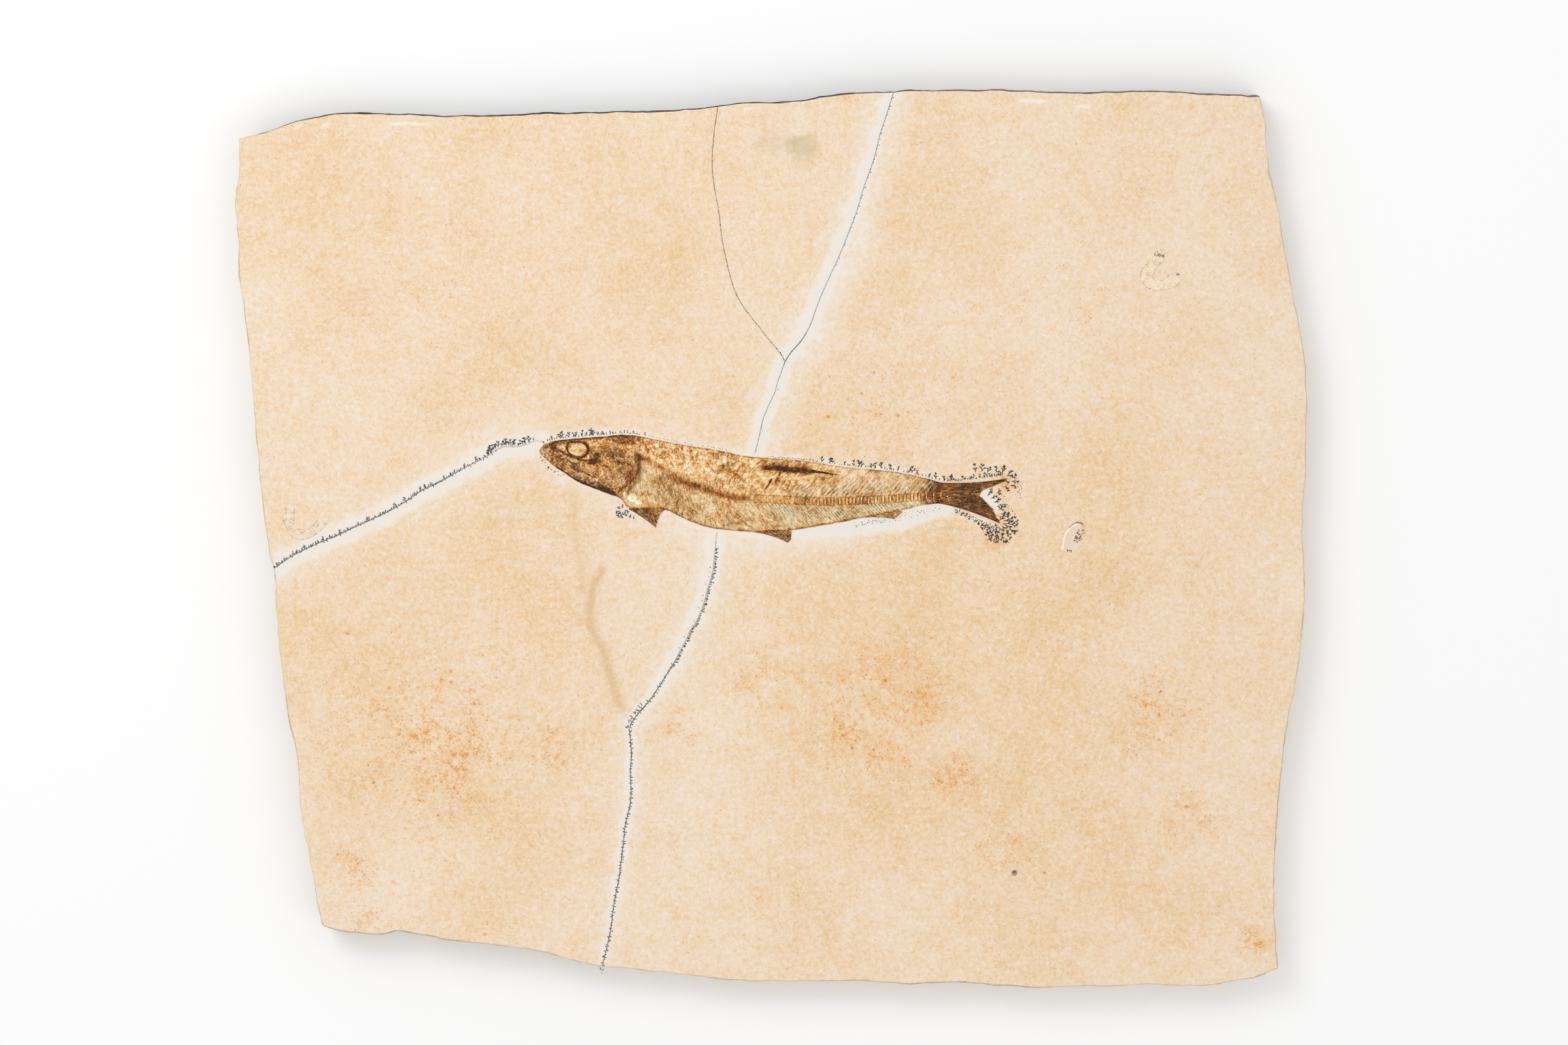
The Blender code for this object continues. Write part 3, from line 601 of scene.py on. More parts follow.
def hollow_over(stone, grains, colour):
    """The oval hollow: a pale floor, a painted highlight in white on one side of its rim, a brown
    line above, and black specks crowded on its right and at its foot."""
    deep = stone.oval(HOLLOW_CENTRE, HOLLOW_RADII, HOLLOW_LEAN) + (grains.grit - 0.5) * 0.25
    colour = stone.blend(colour, HOLLOW_FLOOR, stone.rise(deep, 1.0, 0.8) * 0.7)
    rim = stone.rise(deep, 0.78, 0.92) * stone.rise(deep, 1.12, 1.0)
    # painted highlight: white on the side of the rim that faces the light
    highlit_side = stone.rise(stone.oval((155.6, 2.4), (5, 9), HOLLOW_LEAN), 1.1, 0.8)
    colour = stone.blend(colour, CHIP_AND_HIGHLIGHT_WHITE, rim * highlit_side * 0.8)
    above = stone.rise(stone.oval((159.5, 8.0), (5.0, 4.0), -20), 1.1, 0.8)
    line = 1 - stone.rise(stone.size_of(deep - 1.03), 0.02, 0.05)
    colour = stone.blend(colour, HOLLOW_LINE, line * above * 0.85)
    distance, number, _ = stone.cells(1.0, grains.wandering)
    crowd = stone.rise(stone.oval((161.6, 1.4), (2.3, 5.0), HOLLOW_LEAN), 1.15, 0.5) \
        + stone.rise(stone.oval((156.2, -6.0), (2.0, 1.6)), 1.1, 0.6) * 0.6
    specks = stone.rise(distance, 0.6, 0.38) * stone.rise(crowd - number * 0.75, 0, 0.1)
    return stone.blend(colour, SPECK_BLACK, specks * 0.9)


def pit_over(stone, grains, colour):
    """The small round pit: a brown floor, with painted shadow under its upper edge."""
    pit = stone.oval(PIT_CENTRE, (PIT_RADIUS, PIT_RADIUS)) + (grains.grit - 0.5) * 0.2
    colour = stone.blend(colour, PIT_BROWN, stone.rise(pit, 1.1, 0.85) * 0.75)
    # painted shadow: the pit darkened under its upper edge, where light from above does not reach
    shade = stone.oval((PIT_CENTRE[0], PIT_CENTRE[1] + 0.5), (1.1, 0.8))
    return stone.blend(colour, PIT_SHADOW, stone.rise(shade, 1.1, 0.5) * 0.6)


def broken_side(stone, grains):
    """The colour of the broken sides: thin beds in cream and grey, and on the far side painted
    shade, laid on as a dark coat that the beds show through."""
    beds = stone.grain(1.0, detail=3, at=stone.stretched(stone.place, BED_GRAIN))
    broken = stone.grain(5, detail=4, roughness=0.65)
    colour = stone.blend(EDGE_CREAM, EDGE_SHADE, stone.rise(beds * 0.6 + broken * 0.4, 0.42, 0.6))
    colour = stone.blend(colour, ORANGE, stone.rise(grains.ochre, 0.62, 0.8) * 0.4)
    # painted shade on the far side, laid on as a coat, blackest where its blackness value is high
    coat = stone.rise(stone.value("coat") + (broken - 0.5) * 0.5, 0.35, 0.62)
    black = stone.rise(stone.value("blackness") + (grains.mottle - 0.5), 0.35, 0.6)
    dark = stone.blend(FAR_SHADE_BROWN, FAR_SHADE_BLACK, black)
    dark = stone.blend(dark, FAR_SHADE_BROWN, stone.rise(beds * 0.65 + broken * 0.35, 0.46, 0.62) * 0.7)
    return stone.blend(colour, dark, coat)


def limestone_finish():
    """Cream stone: a mottle of many sizes from lilac cream to sand, ochre blots and orange
    specks in clusters, pale halos along the cracks, and beds on the broken sides."""
    stone = Finish("limestone")
    grains = stone_grains(stone)
    halo = stone.value("halo")
    ragged = (stone.grain(9.0, detail=4, roughness=0.7) - 0.5) * 2.0 + (grains.light - 0.5) * 0.8
    inside = stone.rise(halo + ragged * stone.rise(halo, 0, 0.25), 0.1, 1.0)
    colour = bedding_colour(stone, grains)
    colour = rust_over(stone, grains, colour, 1 - inside * 0.8)
    colour = stains_over(stone, grains, colour)
    colour = cracks_over(stone, grains, colour, inside)
    colour = hollow_over(stone, grains, colour)
    colour = pit_over(stone, grains, colour)
    side = stone.rise(stone.value("side"), 0.2, 0.75)
    colour = stone.blend(colour, broken_side(stone, grains), side)
    relief = grains.fine * 0.6 + grains.grit * 0.9 + grains.mottle * 0.6
    stone.done(colour, 0.82 + (grains.fine - 0.5) * 0.2, stone.bump(relief, 0.15), specular=0.2)
    return stone


# ============================================================ the stone

GRID_PITCH = 2.1
COLUMN_SPANS = (224, 56, 296)          # about how wide the strips of columns are
ROW_SPANS = (246, 206)                 # and the strips of rows
PLAN_ROUNDS = 14                       # how often the plan's x and y are worked out in turn
RIM_LEADS = (0.0, 0.5, 1.2)            # grid lines kept this far in from the rim
CRACK_LEADS = (0.0, 0.2, 0.45, 1.0)    # and from a crack
LAST_LEAD = 2.2                        # where the even spacing begins
DRAWN_IN = (                           # the grid is drawn in towards small features
    (HOLLOW_CENTRE, 15.0, 0.5), (PIT_CENTRE, 8.0, 0.7),
)
SWELL = 0.14               # height of the bedding plane's slow swells
RIM_WANDER = 0.55
EDGE_LEDGES = (            # height, then distance in from the rim on plain and on far sides
    (18.0, 0.0, 0.0), (17.75, -0.25, -0.25), (16.9, -0.5, -0.5), (16.2, -0.3, -0.6),
    (14.3, -0.2, -0.8), (12.3, -0.1, -1.0), (11.8, 0.25, -1.0), (10.6, 0.2, -1.4),
    (8.7, 0.1, -1.6), (6.8, 0.0, -1.8), (6.3, 0.45, -1.7), (5.0, 0.3, -2.0), (3.2, 0.1, -2.1),
    (1.7, 0.2, -2.1), (0.7, 0.7, -1.6), (0.0, 1.4, -1.0),
)
FAR_SHADE_TOP = 17.9            # the far side's painted shade, laid on as a dark coat, lies below this height
FAR_SIDE_START = 205.0     # y where the far side's slope begins to show
FAR_SIDE_FULL = 219.0
UNDERSIDE_RINGS = (0.985, 0.95, 0.85, 0.6, 0.3)
UNDERSIDE_MIDDLE = 0.1     # height of the underside's middle

crack_paths = [smooth(crack["line"]) for crack in CRACKS]


def ground(x, y):
    """The stone's face: slow swells, less a V along each crack, with one side of a crack a
    little proud, less a bowl for the oval hollow and another for the pit."""
    z = TOP + SWELL * rough(x, y, 85, 3) - SWELL
    for crack, path in zip(CRACKS, crack_paths):
        gap, _ = beside(x, y, path)
        z = z - crack["depth"] * np.clip(1 - np.abs(gap) / crack["half"], 0, 1)
        z = z + crack["lip"] * (gap > 0) * np.exp(-np.abs(gap) / LIP_REACH)
    bowl = np.clip(1 - oval(x, y, HOLLOW_CENTRE, HOLLOW_RADII, HOLLOW_LEAN) ** 2, 0, 1)
    z = z - HOLLOW_DEPTH * bowl ** 0.6 * (1 + 0.25 * rough(x, y, 3, 8))
    shaft = np.clip(1 - oval(x, y, PIT_CENTRE, (PIT_RADIUS, PIT_RADIUS)) ** 2, 0, 1)
    return z - PIT_DEPTH * shaft ** 0.5


def ladder(cells, first, last):
    """Lines across a strip: each has a lead in millimetres and a share of the free width."""
    lead = [*first, *[LAST_LEAD] * (cells + 1), *(2 * LAST_LEAD - each for each in last[::-1])]
    share = [0.0] * len(first) + list(np.arange(cells + 1) / cells) + [1.0] * len(last)
    return np.array(lead)[:-1], np.array(share)[:-1]


def spread(strips, at):
    """Where the lines of each strip stand between its two guides, at the places given."""
    found, first = [], 0
    for low_guide, high_guide, (lead, share) in strips:
        here = at[first:first + len(lead)]
        low, high = low_guide(here), high_guide(here)
        squeeze = np.clip((high - low) / (3 * LAST_LEAD), 0, 1)
        free = high - low - 2 * LAST_LEAD * squeeze
        found.append(low + squeeze * lead[:, None] + share[:, None] * free)
        first += len(lead)
    last_guide = strips[-1][1]
    return np.concatenate([np.concatenate(found), last_guide(at[first:])])


def torn(line, seed):
    """A rim's line as a guide, with the small wander of a broken edge."""
    return lambda at: line(at) + RIM_WANDER * rough(at, at * 0, 9, seed)


def face_plan():
    """The plan of the top face. Its columns run between the left rim, the branch crack, the
    main crack and the right rim, and its rows between the near rim, the left crack and the
    far rim. A point's x is worked out from the columns at its y, its y from the rows at its
    x, in turn until both stand still."""
    main = CRACK_NEAR[::-1] + UNDER_FISH + CRACK_FAR[::-1]
    branch = BRANCH_CARRIED_ON[::-1] + CRACK_BRANCH[::-1]
    across = CRACK_LEFT + LEFT_CARRIED_ON
    left, right = torn(x_of(LEFT_RIM), 21), torn(x_of(RIGHT_RIM), 22)
    near, far = torn(y_of(NEAR_RIM), 23), torn(y_of(FAR_RIM), 24)
    split, crack, middle = x_of(branch), x_of(main), y_of(across)
    wide = [round(span / GRID_PITCH) for span in COLUMN_SPANS]
    high = [round(span / GRID_PITCH) for span in ROW_SPANS]
    columns = [(left, split, ladder(wide[0], RIM_LEADS, CRACK_LEADS)),
               (split, crack, ladder(wide[1], CRACK_LEADS, CRACK_LEADS)),
               (crack, right, ladder(wide[2], CRACK_LEADS, RIM_LEADS))]
    rows = [(near, middle, ladder(high[0], RIM_LEADS, CRACK_LEADS)),
            (middle, far, ladder(high[1], CRACK_LEADS, RIM_LEADS))]
    column_count = 1 + sum(len(strip[2][0]) for strip in columns)
    row_count = 1 + sum(len(strip[2][0]) for strip in rows)
    y = np.broadcast_to(np.linspace(-220, 225, row_count), (column_count, row_count))
    for _ in range(PLAN_ROUNDS):
        x = spread(columns, y)
        y = spread(rows, x.T).T
    for centre, reach, pull in DRAWN_IN:
        off_x, off_y = x - centre[0], y - centre[1]
        share = pull * bell(np.hypot(off_x, off_y) / reach)
        x, y = x - off_x * share, y - off_y * share
    return x, y


def limestone_slab(finish):
    """The stone: the top face, walls of thin broken beds, and an underside that closes in
    rings to its centre. Each bed's ring is the rim moved out along its own normal by the
    bed's inset and by two noises along the rim, at the bed's height."""
    x, y = face_plan()
    rows, columns = x.shape
    z = ground(x, y)
    edge = grid_edge(rows, columns)
    face = np.stack([x.ravel(), y.ravel(), z.ravel()], axis=1)
    rim = face[edge]
    turn = np.roll(rim[:, :2], -1, axis=0) - np.roll(rim[:, :2], 1, axis=0)
    normal = np.stack([turn[:, 1], -turn[:, 0]], axis=1)
    for _ in range(4):
        normal = normal / np.linalg.norm(normal, axis=1, keepdims=True)
        normal = np.roll(normal, 1, axis=0) + 2 * normal + np.roll(normal, -1, axis=0)
    normal = normal / np.linalg.norm(normal, axis=1, keepdims=True)
    reached = lengths(rim[:, :2])
    far = rise(rim[:, 1], FAR_SIDE_START, FAR_SIDE_FULL) * rise(normal[:, 1], 0.5, 0.85)

    rings = []
    for height, inset, far_inset in EDGE_LEDGES[1:]:
        between = 1.0 if 0.5 < height < 17.5 else 0.0
        sway = between * 0.8 * rough(reached, reached * 0 + 2, 60, 31)
        depth = inset + (far_inset - inset) * far
        depth = depth - 0.25 - 0.55 * rough(reached, np.full_like(reached, height * 9), 16, 33)
        depth = depth + 0.35 * rough(reached, np.full_like(reached, height * 5), 4, 35)
        plan = rim[:, :2] - normal * depth[:, None]
        rings.append(np.column_stack([plan, np.full(len(plan), height) + sway]))
    for share in UNDERSIDE_RINGS:
        plan = rings[len(EDGE_LEDGES) - 2][:, :2] * share
        lift = 0.25 * (1 + rough(plan[:, 0], plan[:, 1], 12, 41)) / 2
        rings.append(np.column_stack([plan, lift]))
    centre = np.array([[0.0, 0.0, UNDERSIDE_MIDDLE]])
    points = np.vstack([face, *rings, centre])

    ring_size = len(edge)
    numbers = [edge] + [len(face) + k * ring_size + np.arange(ring_size) for k in range(len(rings))]
    walls = [np.stack([lower, np.roll(lower, -1), np.roll(upper, -1), upper], axis=1)
             for upper, lower in zip(numbers, numbers[1:])]
    last = numbers[-1]
    fan = np.stack([np.full(ring_size, len(points) - 1), np.roll(last, -1), last], axis=1)

    side = np.concatenate([np.zeros(len(face)), np.ones(len(points) - len(face))])
    wall_heights = [np.full(ring_size, ring[:, 2].mean()) for ring in rings]
    # painted shade on the far side's walls, below the top of the coat
    coat = np.concatenate([np.zeros(len(face)), *[far * (low < FAR_SHADE_TOP) for low in wall_heights], [0]])
    px, py = points[:, 0], points[:, 1]
    # how black the far side's painted shade is along x
    black = np.clip(bell((px + 80) / 130) + 0.2, 0, 1)
    return make_piece(
        "limestone_slab_surface", points, [np.vstack([grid_quads(rows, columns), *walls]), fan],
        finish, "limestone", ["limestone_slab"],
        halo=halo_share(px, py), rust=rust_density(px, py), warmth=warmth(px, py),
        crack=crack_darkness(px, py) * (1 - side), tan=tan_bands(px, py) * (1 - side),
        spall=spall_share(px, py) * (1 - side), side=side, coat=coat, blackness=black)


# Halo: a line, its half widths on either side at shares of the line's length, how strong
# it is, and how softly it ends. Both lines along the fish run from snout to tail.
HALOS = (
    (CRACK_LEFT, ((0, 6), (0.6, 7), (1, 6)), ((0, 7), (0.6, 7), (1, 7)), 0.95, 4.5),
    (CRACK_FAR, ((0, 2.5), (0.35, 3), (0.55, 5), (0.8, 6), (1, 6)),
     ((0, 5.5), (0.35, 6.5), (0.6, 7), (0.8, 6), (1, 5.5)), 1.0, 3.5),
    (CRACK_NEAR, ((0, 5), (0.35, 4.5), (0.5, 3.5), (1, 2.5)), ((0, 6.5), (0.3, 6), (0.5, 4), (1, 3.5)),
     0.9, 3.0),
    (BELLY, ((0, 1), (1, 1)), ((0, 1.5), (0.3, 1.5), (0.5, 3), (0.62, 5), (0.75, 8), (0.9, 11), (1, 8)),
     1.1, 4.0),
    (BACK, ((0, 5), (0.1, 5), (0.3, 2.5), (0.5, 3.5), (0.6, 3), (1, 2.5)), ((0, 1), (1, 1)), 0.75, 3.5),
    (CRACK_FAR, ((0, 10), (0.5, 15), (1, 15)), ((0, 14), (1, 11)), 0.54, 9.0),
    (CRACK_NEAR, ((0, 12), (0.4, 12), (1, 6)), ((0, 12), (0.4, 12), (1, 6)), 0.48, 8.0),
    (CRACK_LEFT, ((0, 12), (1, 14)), ((0, 12), (1, 12)), 0.42, 9.0),
    (BELLY, ((0, 1), (1, 1)), ((0, 6), (0.3, 10), (0.5, 14), (0.8, 15), (1, 9)), 0.5, 8.0),
    (((111, 23.5), (116, 20), (119, 15)), ((0, 3), (1, 2)), ((0, 2.5), (1, 1.5)), 1.0, 2.5),
    (((98, 15.5), (108, 11), (118, 6)), ((0, 1), (1, 1)), ((0, 4), (1, 3)), 0.7, 3.0),
)


def halo_share(x, y):
    """How strong the pale halo is: each one full within its width of its line and fading
    across its edge, the strongest one counting."""
    found = np.zeros(x.shape)
    for line, left, right, strength, softness in HALOS:
        path = smooth(line, 3.0)
        gap, reached = beside(x, y, path)
        share = reached / lengths(path)[-1]
        widths = [np.interp(share, *np.array(side).T) for side in (left, right)]
        depth = np.where(gap > 0, *widths) - np.abs(gap)
        found = np.maximum(found, strength * rise(depth, -softness, softness))
    return found


WARM_GROUND = (            # centre, radius and strength: where the mottle is warmer or paler
    ((-150, -80), 90, 0.5), ((80, -90), 90, 0.5), ((180, 30), 80, 0.45), ((170, -180), 70, 0.45),
    ((-20, -190), 60, -0.5), ((-230, 60), 50, -0.3), ((150, 90), 50, -0.3), ((-110, 130), 60, 0.2),
)
SPALLS = (                 # fine white chips by the far rim
    ((-249.7, 216.5), (-234.3, 217.2), (-211.2, 217.5), (-142.6, 218.6)),
    ((-108, 220), (-55.1, 220.7)), ((-13.8, 225.9), (9.6, 225.2)),
    ((113.9, 230.1), (124.4, 229.4), (136, 230.1), (154.5, 228), (167.8, 227)),
)


def warmth(x, y):
    """How warm the ground is, from 0 to 1 about a middle of a half."""
    found = np.full(x.shape, 0.5)
    for centre, radius, strength in WARM_GROUND:
        found = found + strength * bell(np.hypot(x - centre[0], y - centre[1]) / radius)
    return found


def spall_share(x, y):
    """Thin broken white lines."""
    found = np.zeros(x.shape)
    for line in SPALLS:
        gap, _ = beside(x, y, smooth(line, 3.0))
        found = np.maximum(found, bell(gap / 0.5))
    return found


RUST_CLUSTERS = (          # centre, radius and strength
    ((-177, -107), 52, 0.85), ((-174, -114), 26, 1.0), ((-115, -109.7), 16, 0.8), ((-220, -176), 18, 0.7),
    ((-213, -202), 10, 0.7), ((-147.5, -202), 10, 0.5), ((-10, -70), 18, 0.7),
    ((57, -88), 38, 1.0), ((97.5, -126), 18, 0.8), ((203, -91), 30, 0.6),
    ((218.6, -146.8), 16, 0.9), ((124, -160), 28, 0.5), ((153, -44), 32, 0.35),
    ((-52.7, -100.6), 6, 0.8), ((-66, -104), 5, 0.9), ((-43.6, -105), 5, 0.7),
    ((-48.8, -90.8), 4, 0.8), ((-88.7, -95.4), 3, 1.0), ((252, -212), 10, 0.8),
    ((65, 65), 45, 0.45), ((-160, 120), 60, 0.25), ((150, 110), 70, 0.25),
    ((118, 3), 7, 1.6), ((119, 10), 4, 1.2), ((125, 29), 6, 1.0),
)


def rust_density(x, y):
    """How many orange specks there are: a bump for each cluster, the strongest one counting."""
    density = np.zeros(x.shape)
    for centre, radius, strength in RUST_CLUSTERS:
        density = np.maximum(density, strength * bell(np.hypot(x - centre[0], y - centre[1]) / radius))
    return density


CRACK_SHADES = (           # darkness at shares of each crack's length, and how wide it reaches
    (((0, 0.95), (0.7, 0.95), (0.78, 0.6), (1, 0.4)), 0.45),
    (((0, 0.75), (0.5, 0.6), (0.66, 0.7), (0.69, 1.15), (0.75, 1.15), (0.78, 0.6), (1, 0.65)), 0.42),
    (((0, 0.85), (0.5, 0.8), (1, 0.75)), 0.42),
    (((0, 0.6), (0.1, 0.5), (0.25, 0.6), (0.3, 1.0), (0.5, 1.05), (1, 0.95)), 0.45),
)
TAN_BANDS = (              # line, half width and strength
    (((-89.1, -16.3), (-93.3, -24.3), (-95.4, -37.3), (-95.4, -44.3), (-93.3, -50.6),
      (-89.4, -55.8), (-87.3, -61.4), (-85.2, -70.2), (-82.4, -80), (-80.3, -86.3),
      (-77.5, -90.1)), 2.2, 1.2),
    (((-103.8, 24), (-103, 3), (-100, -14), (-99.6, -27.8)), 1.8, 0.6),
    (((29.2, -17.7), (22, -90), (10.7, -228.4)), 1.2, 0.2),
)


def crack_darkness(x, y):
    """1 in the deepest line of a crack and 0 at its lips, stronger where manganese lines it."""
    dark = np.zeros(x.shape)
    for (strengths, reach), path in zip(CRACK_SHADES, crack_paths):
        gap, reached = beside(x, y, path)
        share = reached / lengths(path)[-1]
        strength = np.interp(share, *np.array(strengths).T)
        dark = np.maximum(dark, strength * np.clip(1 - np.abs(gap) / reach, 0, 1))
    return dark


def tan_bands(x, y):
    """Soft tan lines where the bedding plane creases."""
    tan = np.zeros(x.shape)
    for line, half, strength in TAN_BANDS:
        gap, _ = beside(x, y, smooth(line, 2.0))
        tan = np.maximum(tan, strength * bell(gap / half))
    return tan


# ============================================================ the fish: finishes

# Bone colours at rising tones, for the plain ground and for its tinted places
BONE_TONES = (0.10, 0.28, 0.44, 0.56, 0.70, 0.88)
BONE_TINTS = {
    "gold": (srgb(60, 34, 8), srgb(124, 76, 24), srgb(190, 132, 66), srgb(224, 179, 116),
             srgb(242, 215, 166), srgb(252, 242, 222)),
    "warm": (srgb(66, 32, 6), srgb(136, 76, 22), srgb(196, 128, 54), srgb(224, 168, 98),
             srgb(240, 208, 152), srgb(253, 240, 214)),
    "rose": (srgb(66, 42, 30), srgb(128, 88, 62), srgb(190, 146, 114), srgb(222, 186, 154),
             srgb(240, 218, 196), srgb(252, 244, 236)),
    "sage": (srgb(48, 38, 20), srgb(104, 82, 44), srgb(166, 134, 86), srgb(208, 180, 132),
             srgb(234, 218, 178), srgb(250, 245, 228)),
}
INK = srgb(66, 50, 34)
INK_GREY = srgb(72, 66, 58)
CURL_BROWN = srgb(138, 78, 30)
CURL_CREAM = srgb(246, 226, 184)
SLANT_PITCH = 2.6
# white for chips and for painted glints
CHIP_AND_GLINT_WHITE = srgb(251, 248, 243)


def fossil_finish(name, depth=0.0, strokes=(0.5, 2.0, 1.0), scales=0.0, contrast=1.3,
                  tangle=0.5, relief=0.1):
    """Fossil bone and scale: crossing strokes that follow the piece's own flow lines set a
    tone, which the piece's dark and pale places move down or up, and its tinted places read
    through colours of their own. Brown and cream streaks, evenly spaced slanted bones, ink
    scratches and painted glints, white highlights, lie over it. depth darkens the whole piece,
    and scales sets how strongly scale edges show, contrast how far the tone swings, and tangle
    how much of it comes from curled lines that run any way."""
    bone = Finish(name)
    flow = bone.vector("flow")

    def streaks(size, lean, low, high, at=flow):
        noise = bone.grain(1.0, detail=2, roughness=0.6, distortion=0.25,
                           at=bone.stretched(at, size, lean))
        return bone.rise(noise, low, high)

    first = bone.grain(1.0, detail=3, roughness=0.62, distortion=0.3,
                       at=bone.stretched(flow, strokes))
    cross = (strokes[0] * 1.3, strokes[1] * 0.6, 1.0)
    second = bone.grain(1.0, detail=2, roughness=0.6, distortion=0.3,
                        at=bone.stretched(flow, cross, 28))
    blotch = bone.grain(3.2, detail=4, roughness=0.7, distortion=0.3)
    patch = bone.grain(11.0, detail=2)
    fine = bone.grain(0.45, detail=1)
    dark, pale = bone.value("dark"), bone.value("pale")
    curled = bone.grain(1.5, detail=3, roughness=0.65, distortion=0.9)
    swing = ((first - 0.5) * (0.8 - tangle * 0.35) + (second - 0.5) * 0.35
             + (curled - 0.5) * tangle * 0.8 + (blotch - 0.5) * 0.5
             + (patch - 0.5) * 0.4 + (fine - 0.5) * 0.35)
    tone = 0.5 - depth + contrast * swing
    outline = 0.0
    if scales:
        laid = bone.stretched(flow, (2.7, 2.1, 1.0))
        cell = {"Vector": laid, "Scale": 1.0, "Randomness": 0.75}
        gap = bone.node("ShaderNodeTexVoronoi", {"feature": "DISTANCE_TO_EDGE"}, cell, "Distance")
        tint = bone.node("ShaderNodeTexVoronoi", (), cell, "Color")
        own = bone.node("ShaderNodeSeparateColor", inputs={"Color": tint}, output="Red")
        scaled = bone.value("scaled")
        outline = (1 - bone.rise(gap + (first - 0.5) * 0.3 + (blotch - 0.5) * 0.4, 0.02, 0.2)) * scaled
        tone = tone + (own - 0.5) * scaled * 0.16 - outline * scales
    tone = tone - dark * 0.34 + pale * 0.14
    colour = bone.ramp(tone, *zip(BONE_TONES, BONE_TINTS["gold"]))
    uneven = (blotch - 0.5) * 1.4 + (patch - 0.5) * 1.4 + (first - 0.5) * 0.8
    for tint in ("sage", "rose", "warm"):
        tinted = bone.ramp(tone, *zip(BONE_TONES, BONE_TINTS[tint]))
        share = bone.value(tint) + uneven * 0.5
        if tint == "warm":
            share = share + outline * 0.6
        colour = bone.blend(colour, tinted, bone.rise(share, 0.15, 0.75))
    brown = streaks((strokes[0] * 0.9, strokes[1] * 0.9, 1.0), -14, 0.56, 0.68)
    cream = streaks((strokes[0], strokes[1], 1.0), 10, 0.55, 0.66,
                    bone.added(flow, (37.0, 11.0, 5.0)))
    colour = bone.blend(colour, CURL_BROWN, brown * (0.22 + dark * 0.3))
    colour = bone.blend(colour, CURL_CREAM, cream * (0.55 - dark * 0.42))
    black = bone.value("black") + (blotch - 0.5) * 1.6 + (second - 0.5) * 1.2
    colour = bone.blend(colour, INK_GREY, bone.rise(black, 0.4, 0.95) * 0.6)

    # slanted bones: a dark stroke every SLANT_PITCH across the flow with a pale one between,
    # and dark threads and pale fibres among them
    beat = bone.node("ShaderNodeMath", {"operation": "PINGPONG"},
                     {0: bone.axis(flow, "X") + (first - 0.5) * 0.5, 1: SLANT_PITCH / 2})
    slant = bone.value("slant")
    bones = bone.rise(beat + (blotch - 0.5) * 1.5 + (curled - 0.5) * 0.9, 0.46, 0.14) * slant
    colour = bone.blend(colour, INK, bones * 0.78)
    between = bone.rise(beat + (blotch - 0.5) * 1.2, 0.85, 1.15) * slant
    colour = bone.blend(colour, CURL_CREAM, between * 0.4)
    threads = streaks((0.5, 3.0, 1.0), 5, 0.53, 0.61) * slant
    colour = bone.blend(colour, INK, threads * 0.68)
    lighter = streaks((0.6, 2.4, 1.0), -8, 0.54, 0.63, bone.added(flow, (5.0, 43.0, 9.0)))
    colour = bone.blend(colour, CURL_CREAM, lighter * slant * 0.85)
    ink = bone.rise(bone.value("ink") + (blotch - 0.5) * 1.6, 0.3, 0.8)
    scratches = streaks((0.42, 1.9, 1.0), -35, 0.58, 0.66, bone.place)
    colour = bone.blend(colour, INK, scratches * ink * 0.5)
    # glints: painted highlights, white flecks standing in for the bone's sheen
    glints = streaks((0.5, 1.4, 1.0), 15, 0.66, 0.74)
    chips = bone.rise(pale - (blotch - 0.5) * 3.4 - (fine - 0.5) * 1.8, 0.76, 0.94)
    colour = bone.blend(colour, CHIP_AND_GLINT_WHITE, glints * (0.22 - dark * 0.2))
    colour = bone.blend(colour, CHIP_AND_GLINT_WHITE, chips * 0.9)
    height = (first * 0.5 + second * 0.3 + blotch * 0.7 + fine * 0.2
              - bones * 0.4 - scratches * ink * 0.2)
    bone.done(colour, 0.62 + (fine - 0.5) * 0.3, bone.bump(height, relief), specular=0.2)
    return bone


MARKS = ("dark", "black", "warm", "rose", "sage", "pale", "ink", "scaled", "slant")


def marks(shape, **given):
    """The colour marks of a piece: those given, and nothing for the others."""
    return {name: np.clip(given.get(name, np.zeros(shape)), -0.5, 1.5) for name in MARKS}


def flow_lines(first, second):
    """Flow coordinates for a finish: across the strokes, along them, and nothing."""
    return np.stack([first, second, np.zeros_like(first)], axis=-1)


# ============================================================ the fish: skull and trunk

RIM_RISE = 0.12            # how far a fossil's edge stands above the stone
SUNK = 0.9                 # how far a fossil's underside lies within the stone
SKULL_GRID = (190, 120)
TRUNK_GRID = (440, 104)
SKULL_CROWN = 1.15
TRUNK_CROWN = 1.2
TAIL_CROWN = 0.5
GILL_LAP = 1.2             # how far the gill cover laps over the trunk
GILL_RISE = 0.3

back_y = y_of(BACK, 0.8)
belly_y = y_of(BELLY, 0.8)
column_y = y_of(COLUMN, 0.8)

JAW_JOINT = (-84.0, 24.0)  # where the head's fibres meet

